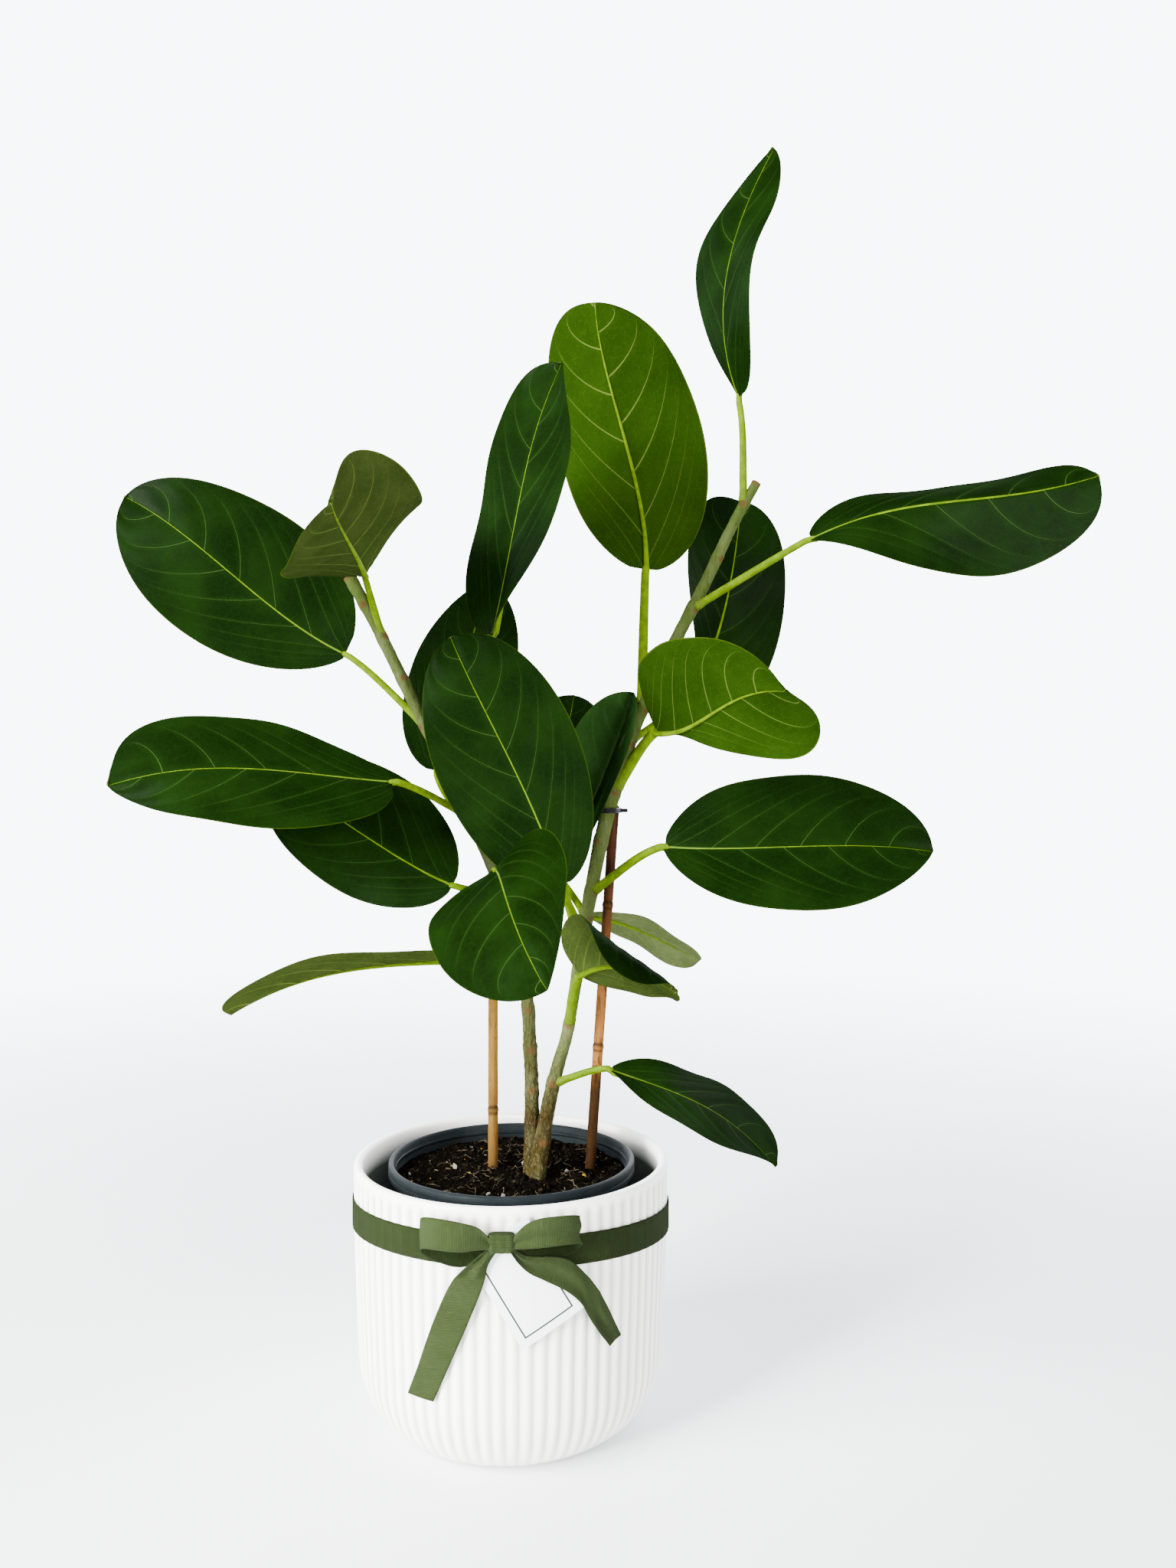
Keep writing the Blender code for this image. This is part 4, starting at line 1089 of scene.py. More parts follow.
@dataclass(frozen=True)
class Soil:
    """The potting mix: a body with a crumbly top, and what lies loose on it.

    Args:
        pot: the pot that it fills.
        level: the height of its surface.
        seed: the seed of the random places.
    """

    pot: NurseryPot
    level: float = 189.0
    seed: int = 11

    def edge(self) -> float:
        """The radius of the surface where it meets the pot."""
        return self.pot.inside(self.level) - 0.6

    def heights(self, x: np.ndarray, y: np.ndarray) -> np.ndarray:
        """The surface's height: the level plus three random reliefs of 26, 8 and 3.4 mm wave length."""
        random = np.random.default_rng(self.seed)
        places = np.stack([x, y, np.zeros_like(x)], axis=-1)
        return (self.level + 1.0 * ripple(random, places, 8, 26.0) + 0.7 * ripple(random, places, 10, 8.0)
                + 0.5 * ripple(random, places, 12, 3.4))

    def body(self) -> bpy.types.Object:
        """Make the body: a tapered plug whose top is a polar grid at the surface's heights."""
        sides = 220
        angle = np.arange(sides) * 2 * math.pi / sides
        bottom = self.pot.base + self.pot.wall + GAP
        wall_z = np.array([bottom, bottom, 60.0, 120.0, self.level - 3])
        wall_r = np.array([2.0] + [self.pot.inside(z) - 0.6 for z in wall_z[1:]])
        top_r = np.linspace(self.edge(), 1.0, 80)
        radius = np.concatenate([wall_r, top_r])
        x, y = radius[:, None] * np.cos(angle), radius[:, None] * np.sin(angle)
        z = np.broadcast_to(wall_z[:, None], (len(wall_z), sides))
        z = np.vstack([z, self.heights(x[len(wall_z):], y[len(wall_z):])])
        skin = ring_skin(np.stack([x, y, z], axis=-1))
        mix = Earth("potting_mix", (0.0008, 0.0007, 0.0005), (0.0026, 0.0022, 0.0016), (0.011, 0.009, 0.006),
                    420.0)
        return settle(skin.build("soil_mix", [mix.make()]), "soil")

    def places(self, random: np.random.Generator, count: int, reach: float = 1.0) -> np.ndarray:
        """Random places evenly spread over the surface, with their heights."""
        radius = (self.edge() - 2) * reach * np.sqrt(random.uniform(0, 1, count))
        angle = random.uniform(0, 2 * math.pi, count)
        x, y = radius * np.cos(angle), radius * np.sin(angle)
        return np.stack([x, y, self.heights(x, y)], axis=-1)

    def crumbs(self) -> list[bpy.types.Object]:
        """Make the loose bits: crumbs, bark chips, perlite and pale grains, each kind one piece."""
        points, tris = pebble()
        kinds = (
            ("soil_crumbs", 1300, (0.7, 2.3), (1.0, 0.8, 0.7), 0.25,
             Earth("crumb", (0.0010, 0.0008, 0.0006), (0.0038, 0.0032, 0.0023), (0.018, 0.015, 0.010), 500.0)),
            ("bark_chips", 420, (1.3, 4.6), (1.0, 0.45, 0.2), 0.6,
             Earth("bark_chip", (0.0022, 0.0016, 0.0011), (0.0085, 0.0064, 0.0040), (0.062, 0.050, 0.032), 420.0)),
            ("perlite", 16, (0.7, 2.9), (1.0, 0.8, 0.7), 0.5,
             Earth("perlite_grain", (0.090, 0.080, 0.066), (0.200, 0.188, 0.168), (0.380, 0.365, 0.335), 700.0)),
            ("straw_bits", 170, (0.8, 2.9), (1.0, 0.3, 0.18), 0.7,
             Earth("straw_bit", (0.018, 0.014, 0.008), (0.066, 0.055, 0.034), (0.190, 0.170, 0.120), 500.0)),
            ("yellow_grains", 12, (0.7, 1.8), (1.0, 0.7, 0.6), 0.6,
             Earth("yellow_grain", (0.080, 0.045, 0.005), (0.200, 0.130, 0.012), (0.300, 0.230, 0.050), 600.0)))
        made = []
        for number, (name, count, (small, large), ratio, lift, finish) in enumerate(kinds):
            random = np.random.default_rng(self.seed + number)
            shapes = points[None] * (1 + random.uniform(-0.28, 0.28, (count, 12, 1)))
            size = small + (large - small) * random.uniform(0, 1, (count, 1))**2.2
            centres = self.places(random, count)
            centres[:, 2] += size[:, 0] * lift * ratio[2]
            turns = random_turns(random, count)
            if name in ("bark_chips", "straw_bits"):
                lean = unit(np.array([0, 0, 1.0]) + 0.35 * random.normal(size=(count, 3)))
                side = unit(np.cross(lean, random.normal(size=(count, 3))))
                turns = np.stack([side, np.cross(lean, side), lean], axis=-1)
            skin = scatter((shapes, tris), centres, size * np.array(ratio), turns)
            made.append(settle(skin.build(name, [finish.make()], 25.0), None))
        return made

    def fibres(self) -> bpy.types.Object:
        """Make root fibres and bark strips: short tubes along random parabolas over the surface."""
        random = np.random.default_rng(self.seed + 9)
        steps = np.linspace(-1, 1, 9)
        strands = []
        strips = [((26.0, -72.0), 0.1, 15.0, 1.5), ((41.0, -66.0), 0.35, 9.0, 1.1), ((-48.0, -52.0), 2.6, 8.0, 0.8)]
        count = 90
        places = self.places(random, count, 0.97)[:, :2]
        for x, y in places:
            strips.append(((x, y), random.uniform(0, math.pi), random.uniform(3.5, 9),
                           random.uniform(0.16, 0.5)))
        for (x, y), turn, half, radius in strips:
            way = np.array([math.cos(turn), math.sin(turn)])
            side = np.array([-way[1], way[0]])
            sag = random.uniform(-0.35, 0.35) * half
            flat = np.array([x, y]) + np.outer(steps * half, way) + np.outer(steps**2 * sag, side)
            far = np.linalg.norm(flat, axis=1, keepdims=True)
            flat = flat * np.minimum(1.0, (self.edge() - 2.5) / far)
            z = self.heights(flat[:, 0], flat[:, 1]) + radius * 0.8 + (1 - steps**2) * random.uniform(0.2, 1.6)
            rings, _ = tube(np.column_stack([flat, z]), radius * (1.05 - steps**4), 6, np.array([0.1, 0.1, 1]))
            strands.append(ring_skin(rings))
        whole = strands[0]
        for strand in strands[1:]:
            whole = whole + strand
        finish = Earth("root_fibre", (0.010, 0.0075, 0.0045), (0.046, 0.037, 0.022), (0.170, 0.150, 0.105), 300.0)
        return settle(whole.build("root_fibres", [finish.make()]), None)


# ---------------------------------------------------------------- stems, stakes and tie

@dataclass(frozen=True)
class Leader:
    """One of the two stems, as centreline points with the radius at each.

    Args:
        points: rows of x, y, z and radius.
        brown: the heights between which old bark gives way to younger bark.
        green: the heights between which it turns pale green.
        nodes: heights of the leaf scars.
        seed: the seed of its relief.
    """

    points: tuple
    brown: tuple[float, float]
    green: tuple[float, float]
    nodes: tuple
    seed: int

    def at(self, height: float) -> tuple[np.ndarray, float]:
        """The centre and the radius where the leader passes a height."""
        path = through(self.points, np.linspace(0, 1, (len(self.points) - 1) * 6 + 1))
        centre = np.array([np.interp(height, path[:, 2], path[:, axis]) for axis in range(3)])
        return centre, float(np.interp(height, path[:, 2], path[:, 3]))

    def skin(self) -> Skin:
        """The leader's skin.

        The radius is the smoothed one, times 1 plus a ring of 9 % at each node, less a thin groove just
        above it, plus a relief of 0.35 mm where the bark is old and 0.12 mm where it is young.
        """
        rows = int((self.points[-1][2] - self.points[0][2]) / 1.3)
        path = through(self.points, np.linspace(0, 1, rows))
        z = path[:, 2]
        swell = np.zeros(rows)
        for node in self.nodes:
            swell += 0.09 * np.exp(-((z - node) / 5.0)**2) - 0.05 * np.exp(-((z - node - 5.5) / 0.9)**2)
        rings, angle = tube(path[:, :3], path[:, 3] * (1 + swell), 40, np.array([0.0, 1.0, 0.0]))
        old = np.clip((self.brown[1] - z) / (self.brown[1] - self.brown[0]), 0, 1)
        young = np.clip((z - self.green[0]) / (self.green[1] - self.green[0]), 0, 1)
        random = np.random.default_rng(self.seed)
        relief = ripple(random, rings * np.array([1.0, 1.0, 0.35]), 14, 3.0)
        relief = relief * (0.12 + 0.23 * old)[:, None]
        outward = unit(rings - path[:, None, :3])
        rings = rings + outward * relief[..., None]
        scar = np.zeros((rows, 40))
        for node in self.nodes:
            facing = random.normal(-math.pi / 2, 0.75)
            apart = np.abs((angle - facing + math.pi) % (2 * math.pi) - math.pi) * path[:, 3:4]
            scar += np.exp(-(((z - node)[:, None] / 2.6)**2 + (apart / 3.2)**2)**2)
        end = np.exp(-((z - z[-1]) / 2.2)**2)
        marks = np.stack([np.broadcast_to(old[:, None], scar.shape), np.broadcast_to(young[:, None], scar.shape),
                          np.clip(scar * 0.8 + end[:, None], 0, 1)], axis=-1)
        return ring_skin(rings, values={"bark": marks})


RIGHT = Leader(
    ((20.5, -14, 165, 6.8), (21.5, -14, 190, 6.6), (26.5, -15, 227, 6.0), (34, -15, 265, 5.4),
     (44.5, -15, 302, 4.7), (50, -15, 333, 4.6), (59, -15, 389, 5.2), (70.5, -15, 451, 5.7),
     (83, -15, 501, 6.2), (95, -15, 538, 5.6), (111, -15, 576, 5.2), (136, -15, 625, 4.9),
     (155, -15, 662, 4.6), (176, -15, 706, 4.2), (195, -15, 740, 3.8)),
    (240, 300), (300, 520), (218, 264, 310, 352, 368, 382, 395, 415, 455, 494, 533, 560, 600, 640, 680, 722), 5)
LEFT = Leader(
    ((15, -5, 165, 6.2), (15.5, -5, 190, 6.1), (16.5, -8, 253, 5.5), (15, -10, 293, 5.3),
     (12.5, -12, 333, 5.0), (1.5, -10, 381, 5.0), (-11, -6, 424, 5.1), (-34, -4, 478, 5.2),
     (-71, -2, 551, 5.0), (-96, -2, 602, 4.8), (-112, -1, 634, 4.7), (-131, 2, 668, 5.4)),
    (235, 380), (480, 640), (232, 258, 290, 322, 352, 385, 412, 420, 455, 474, 490, 520, 548, 585, 618, 645), 6)
LEADERS = {"right": RIGHT, "left": LEFT}


def build_stem() -> bpy.types.Object:
    """Both leaders as one stem that forks just above the soil."""
    skin = RIGHT.skin() + LEFT.skin()
    return settle(skin.build("stem_bark", [Bark().make()], 70.0), "stem")


@dataclass(frozen=True)
class Stake:
    """A bamboo stake.

    Args:
        name: the CAD node that it stands for.
        foot: its lower end.
        top: its upper end.
        radius: its radius.
        nodes: the heights of its rings.
        finish: its bamboo.
    """

    name: str
    foot: tuple
    top: tuple
    radius: float
    nodes: tuple
    finish: Bamboo

    def centre(self, height: float) -> np.ndarray:
        """The axis's point at a height."""
        foot, top = np.asarray(self.foot, float), np.asarray(self.top, float)
        return foot + (top - foot) * (height - foot[2]) / (top[2] - foot[2])

    def build(self) -> bpy.types.Object:
        """Make the stake.

        Its radius is eased by 5 % towards the top, with a ring of 13 % just under each node, a thin
        groove above it, and a relief of 0.05 mm; its top edge is rounded over the last millimetre.
        """
        foot, top = np.asarray(self.foot, float), np.asarray(self.top, float)
        z = np.linspace(foot[2], top[2], 380)
        centres = foot + (top - foot) * ((z - foot[2]) / (top[2] - foot[2]))[:, None]
        swell, ring = np.zeros(len(z)), np.zeros(len(z))
        for node in self.nodes:
            swell += 0.13 * np.exp(-((z - node) / 1.7)**2) - 0.07 * np.exp(-((z - node - 3.2) / 0.9)**2)
            ring += np.exp(-((z - node - 2.6) / 1.6)**2) + 0.8 * np.exp(-((z - node + 2.4) / 1.1)**2)
        share = (z - foot[2]) / (top[2] - foot[2])
        edge = np.clip((top[2] - z) / 1.0, 0, 1)
        radius = self.radius * (1 - 0.05 * share) * (1 + swell) * (0.8 + 0.2 * np.sqrt(edge))
        rings, angle = tube(centres, radius, 32, np.array([0.0, 1.0, 0.0]))
        random = np.random.default_rng(len(self.name))
        relief = 0.05 * ripple(random, rings * np.array([1.0, 1.0, 0.06]), 10, 2.0)
        rings = rings + unit(rings - centres[:, None]) * relief[..., None]
        marks = np.zeros((len(z), 32, 3))
        marks[..., 2] = np.clip(ring, 0, 1)[:, None]
        skin = ring_skin(rings, values={"cane": marks})
        return settle(skin.build(f"{self.name}_bamboo", [self.finish.make()], 60.0), self.name)


STAKES = (
    Stake("stake_left", (-16, 11, 25), (-16, 11, 468), 4.1, (120, 236, 352),
          Bamboo("pale_bamboo", ((0.38, (0.046, 0.025, 0.006)), (0.47, (0.124, 0.066, 0.013)),
                                 (0.62, (0.172, 0.090, 0.016))), (0.050, 0.024, 0.007))),
    Stake("stake_right", (52, 14, 25), (82.5, -6, 484), 4.2, (150, 289, 404),
          Bamboo("dark_bamboo", ((0.38, (0.012, 0.0060, 0.002)), (0.51, (0.024, 0.0115, 0.003)),
                                 (0.56, (0.205, 0.086, 0.020)), (0.67, (0.215, 0.086, 0.020)),
                                 (0.71, (0.112, 0.044, 0.012)), (0.79, (0.070, 0.027, 0.009)),
                                 (0.86, (0.040, 0.014, 0.006))), (0.012, 0.005, 0.003), 0.8)))


@dataclass(frozen=True)
class Tie:
    """The black tie round the right leader and its stake.

    Args:
        height: its middle height.
        width: how high the strap is.
        thickness: how thick the strap is.
        tail: how far its free end reaches.
    """

    height: float = 480.0
    width: float = 4.0
    thickness: float = 1.6
    tail: float = 5.5

    def build(self) -> bpy.types.Object:
        """Make the tie.

        The loop's centreline is the outline of both round stems, grown by the gap and half a
        thickness: at each angle the farther of the two circles' supports. The strap's section is a
        rounded rectangle, and the free end is a straight strap out to the right.
        """
        stem_centre, stem_radius = RIGHT.at(self.height)
        stake = STAKES[1]
        stake_centre = stake.centre(self.height)
        middle = (stem_centre[:2] + stake_centre[:2]) / 2
        angle = np.arange(96) * 2 * math.pi / 96
        way = np.stack([np.cos(angle), np.sin(angle)], axis=-1)
        grow = GAP + self.thickness / 2
        supports = np.stack([way @ (centre[:2] - middle) + radius + grow for centre, radius in
                             ((stem_centre, stem_radius), (stake_centre, stake.radius))])
        reach = supports.max(axis=0)
        slope = np.gradient(np.concatenate([reach, reach, reach]), angle[1])[96:192]
        outline = middle + way * reach[:, None] + np.stack([-way[:, 1], way[:, 0]], axis=-1) * slope[:, None]
        turn = np.arange(16) * 2 * math.pi / 16
        across = self.thickness / 2 * np.sign(np.cos(turn)) * np.abs(np.cos(turn))**0.5
        upward = self.width / 2 * np.sign(np.sin(turn)) * np.abs(np.sin(turn))**0.5
        rings = np.zeros((96, 16, 3))
        rings[..., :2] = outline[:, None] + way[:, None] * across[None, :, None]
        rings[..., 2] = self.height + upward
        index = np.arange(96 * 16).reshape(96, 16)
        quads = np.stack([index, np.roll(index, -1, 1), np.roll(np.roll(index, -1, 1), -1, 0),
                          np.roll(index, -1, 0)], axis=-1)
        loop = Skin(rings, quads)
        right = outline[:, 0].max()
        x = np.linspace(right - 0.6, right + self.tail, 24)
        centres = np.column_stack([x, np.full(24, middle[1] - 2.5), np.full(24, self.height)])
        section = np.stack([np.zeros(16), across * 1.2, upward * 0.75], axis=-1)
        ends = np.minimum(1.0, np.sqrt(np.clip((x[-1] - x) / 0.8, 0.05, 1)))
        tail = ring_skin(centres[:, None] + section[None] * ends[:, None, None])
        return settle((loop + tail).build("plant_tie_strap", [Rubber().make()], 50.0),
                      "plant_tie")


# ---------------------------------------------------------------- leaves

@dataclass(frozen=True)
class Half:
    """One side of a blade.

    Args:
        width: how wide it is.
        lift: degrees that it turns towards the upper face, at the base, the middle and the tip.
        curl: degrees that it bends further on its way to the margin, at the same or two places.
        base: how blunt it is at the base, smaller being blunter.
        tip: how blunt it is at the tip.
    """

    width: float
    lift: tuple = (0, 0, 0)
    curl: tuple = (0, 0)
    base: float = 0.55
    tip: float = 0.5

    def outline(self, t: np.ndarray) -> np.ndarray:
        """The half's width: t to the power base times (1 - t) to the power tip, scaled to its widest."""
        widest = self.base / (self.base + self.tip)
        top = widest**self.base * (1 - widest)**self.tip
        return self.width * np.clip(t, 0, 1)**self.base * np.clip(1 - t, 0, 1)**self.tip / top


def along_leaf(values: tuple, t: np.ndarray) -> np.ndarray:
    """A value that runs from base to tip: straight through two numbers, or a parabola through three."""
    if len(values) == 2:
        return values[0] + (values[1] - values[0]) * t
    base, middle, tip = values
    return base * (2 * t - 1) * (t - 1) + middle * 4 * t * (1 - t) + tip * t * (2 * t - 1)


@dataclass(frozen=True)
class Leaf:
    """One leaf: midrib, face direction, both halves, and where its stalk grows.

    Args:
        midrib: four points at the base, one third, two thirds and the tip.
        face: the way its upper face looks.
        left: the half left of the midrib, seen with the tip up and the upper face towards the eye.
        right: the other half.
        leader: the leader that it grows on.
        height: the height of its foot on the leader.
        twist: degrees that the blade turns round its midrib, at the base, the middle and the tip.
        stalk: how thick its stalk is beside the common one.
        shade: the colours of its underside.
        tone: the colours of its upper face.
    """

    midrib: tuple
    face: tuple
    left: Half
    right: Half
    leader: str
    height: float
    twist: tuple = (0, 0, 0)
    stalk: float = 1.0
    shade: Shade = Shade.OLIVE
    tone: Tone = Tone.DEEP

    ROWS = 108
    COLUMNS = 49
    THICKNESS = 0.55
    WAVE = 1.5
    RIB_SIDES = 14

    def curve(self, t: np.ndarray) -> tuple[np.ndarray, np.ndarray]:
        """The cubic through the midrib's points at 0, 1/3, 2/3 and 1 (Lagrange), and its slope."""
        t = np.asarray(t, float)[:, None]
        places = (0, 1 / 3, 2 / 3, 1)
        value, slope = 0, 0
        for i, point in enumerate(np.asarray(self.midrib, float)):
            a, b, c = (places[j] for j in range(4) if j != i)
            scale = (places[i] - a) * (places[i] - b) * (places[i] - c)
            value = value + point * (t - a) * (t - b) * (t - c) / scale
            slope = slope + point * ((t - b) * (t - c) + (t - a) * (t - c) + (t - a) * (t - b)) / scale
        return value, slope

    def axes(self, t: np.ndarray) -> tuple:
        """The midrib's points with the directions along it, across to its right, and out of its face."""
        centre, slope = self.curve(t)
        along = unit(slope)
        face = np.asarray(self.face, float)
        out = unit(face - (along @ face)[:, None] * along)
        across = np.cross(along, out)
        turn = np.radians(along_leaf(self.twist, t))[:, None]
        return (centre, along, np.cos(turn) * across - np.sin(turn) * out,
                np.cos(turn) * out + np.sin(turn) * across)

    def vein_number(self, t: np.ndarray, v: np.ndarray, count: float) -> np.ndarray:
        """The number of the lateral vein through a place.

        A vein that leaves the midrib at t0 passes t0 + (1.19 - t0) q at a share a across, where
        q = 0.28 a + 0.24 a squared; solving that for t0 and multiplying by the count numbers them.
        """
        a = np.abs(v)
        q = 0.28 * a + 0.24 * a**2
        return count * (t - 1.19 * q) / (1 - q)

    def surface(self, t: np.ndarray, v: np.ndarray) -> tuple[np.ndarray, np.ndarray]:
        """Points of the blade.

        Each half is an arc in the plane across the midrib: at a length s from it, the arc has turned
        by lift + curl s / width, so it reaches (sin(turned) - sin(lift)) width / curl sideways and the
        same with cosines outwards. A low wave, growing with the square of the place across, is added.

        Args:
            t: places along the blade, 0 to 1.
            v: places across it, -1 to 1.

        Returns:
            (rows, columns, 3) points, and (rows, columns) signed distances from the midrib.
        """
        centre, _, across, out = self.axes(t)
        t = t[:, None]
        sides = []
        reach = []
        for half, sign, places in ((self.left, -1, v[v < 0]), (self.right, 1, v[v >= 0])):
            places = np.abs(places)[None, :]
            length = places * np.maximum(half.outline(t), 0.6)
            start = np.radians(along_leaf(half.lift, t))
            bend = np.radians(along_leaf(half.curl, t)) / half.width
            bend = np.where(np.abs(bend) < 1e-6, 1e-6, bend)
            sideways = (np.sin(start + bend * length) - np.sin(start)) / bend
            outwards = (np.cos(start) - np.cos(start + bend * length)) / bend
            phase = 2 * t + (0.37 if sign > 0 else 0)
            fade = np.sqrt(np.clip(np.sin(math.pi * np.clip(t, 0, 1)), 0, 1))
            outwards = outwards + self.WAVE * places**2 * np.sin(2 * math.pi * phase) * fade
            sides.append(centre[:, None] + sign * sideways[..., None] * across[:, None]
                         + outwards[..., None] * out[:, None])
            reach.append(sign * length)
        return np.concatenate(sides, axis=1), np.concatenate(reach, axis=1)

    def blade(self, number: int) -> tuple[Skin, np.ndarray, np.ndarray]:
        """The blade's skin: upper columns left to right and lower ones back, ring after ring.

        The sheet is quilted: it rises by 0.45 mm between two lateral veins, as the cosine of the vein
        number, and sinks by 0.5 mm next to the midrib. It is 0.55 mm thick and thins at its margin.

        Args:
            number: the leaf's number, which shifts its pattern.

        Returns:
            The skin, and the midrib's points and normals along it.
        """
        t = 0.5 - 0.5 * np.cos(math.pi * np.linspace(0.055, 1, self.ROWS))
        t[-1] = 0.9965
        half = np.sin(np.linspace(0, math.pi / 2, self.COLUMNS // 2 + 1))
        v = np.concatenate([-half[:0:-1], half])
        points, reach = self.surface(t, v)
        ahead, _ = self.surface(np.clip(t + 1e-3, 0, 0.9985), v)
        behind, _ = self.surface(np.clip(t - 1e-3, 1e-4, 1), v)
        normal = unit(np.cross(np.gradient(points, v, axis=1), ahead - behind))
        count = 5.2 + 0.3 * (number % 4)
        vein = self.vein_number(t[:, None], v[None, :], count) + 0.21 * (number % 5)
        a = np.abs(v)[None, :]
        shifted = vein + 0.38 * (v > 0)[None, :]
        quilt = -0.45 * np.cos(2 * math.pi * (shifted - 0.5)) * np.clip(a * 6, 0, 1) * (1 - a**4)
        groove = -0.5 * np.exp(-(np.abs(reach) / 3.0)**2)
        points = points + normal * (0.5 * (quilt - 0.45) + groove)[..., None]
        thick = self.THICKNESS * (1 - 0.55 * a**10)
        lower = points - normal * np.broadcast_to(thick, reach.shape)[..., None]
        rings = np.concatenate([points, lower[:, ::-1]], axis=1)
        marks = np.stack(np.broadcast_arrays(t[:, None], v[None, :], vein), axis=-1)
        length = np.linalg.norm(np.diff(self.curve(np.linspace(0, 1, 60))[0], axis=0), axis=1).sum()
        flat = np.stack([np.broadcast_to(t[:, None] * length, reach.shape) + 400.0 * number, reach], axis=-1)
        paint = np.zeros(2 * self.COLUMNS, int)
        paint[self.COLUMNS:-1] = 1
        skin = ring_skin(rings, paint, {"leaf": np.concatenate([marks, marks[:, ::-1]], axis=1)},
                         np.concatenate([flat, flat[:, ::-1]], axis=1))
        middle = self.COLUMNS // 2
        return skin, points[:, middle], normal[:, middle]

    def strand(self, rib: np.ndarray, normal: np.ndarray) -> Skin:
        """The stalk and the midrib under the blade as one round strand.

        The stalk is the Bezier curve from the leader to the blade's base whose handles are 0.35 and
        0.30 of its reach; it goes on under the midrib, sunk so that its crown just shows above.
        """
        foot, stem_radius = LEADERS[self.leader].at(self.height)
        base, along, _, out = (part[0] for part in self.axes(np.array([0.0])))
        reach = np.linalg.norm(base - foot)
        leave = unit(base - foot)
        arrive = unit(along + leave)
        bends = (foot, foot + leave * reach * 0.35, base - arrive * reach * 0.3, base)
        start = min(0.6, (stem_radius - 1.2) / reach)
        s = np.linspace(start, 1, 34)[:, None]
        path = ((1 - s)**3 * bends[0] + 3 * (1 - s)**2 * s * bends[1]
                + 3 * (1 - s) * s**2 * bends[2] + s**3 * bends[3])
        s = s[:, 0]
        away = np.linalg.norm(path - foot, axis=1) - stem_radius
        stalk_radius = (3.0 * self.stalk * (1.12 - 0.22 * s) * 0.94
                        + 0.9 * np.exp(-(np.clip(away, 0, None) / 4.0)**2))
        share = np.linspace(0, 1, len(rib))
        rib_radius = 2.3 * (1 - share)**1.15 * (1 - 0.25 * share) + 0.16
        crown = 0.14 * (1 - share) + 0.05
        centres = rib - normal * (rib_radius - crown)[:, None]
        keep = slice(4, None)
        path = np.vstack([path[:-1], (path[-1:] + centres[4:5]) / 2, centres[keep]])
        radius = np.concatenate([stalk_radius[:-1], [2.45 * self.stalk], rib_radius[keep]])
        faces = np.vstack([np.broadcast_to(out, (len(s), 3)), normal[keep]])
        rings, angle = tube(path, radius, self.RIB_SIDES, faces)
        length = np.concatenate([[0], np.cumsum(np.linalg.norm(np.diff(path, axis=0), axis=1))])
        marks = np.stack(np.broadcast_arrays(length[:, None], angle[None, :], np.zeros((1, 1))), axis=-1)
        return ring_skin(rings, 2, {"skin": marks})

    def build(self, number: int, finishes: Sequence[bpy.types.Material]) -> bpy.types.Object:
        """Make the leaf and settle it in its CAD node's place.

        Args:
            number: the leaf's number.
            finishes: its upper face, its underside and its stalk.

        Returns:
            The piece.
        """
        blade, rib, normal = self.blade(number)
        node = f"leaf_{number:02d}"
        skin = blade + self.strand(rib, normal)
        return settle(skin.build(f"{node}_grown", finishes), node)


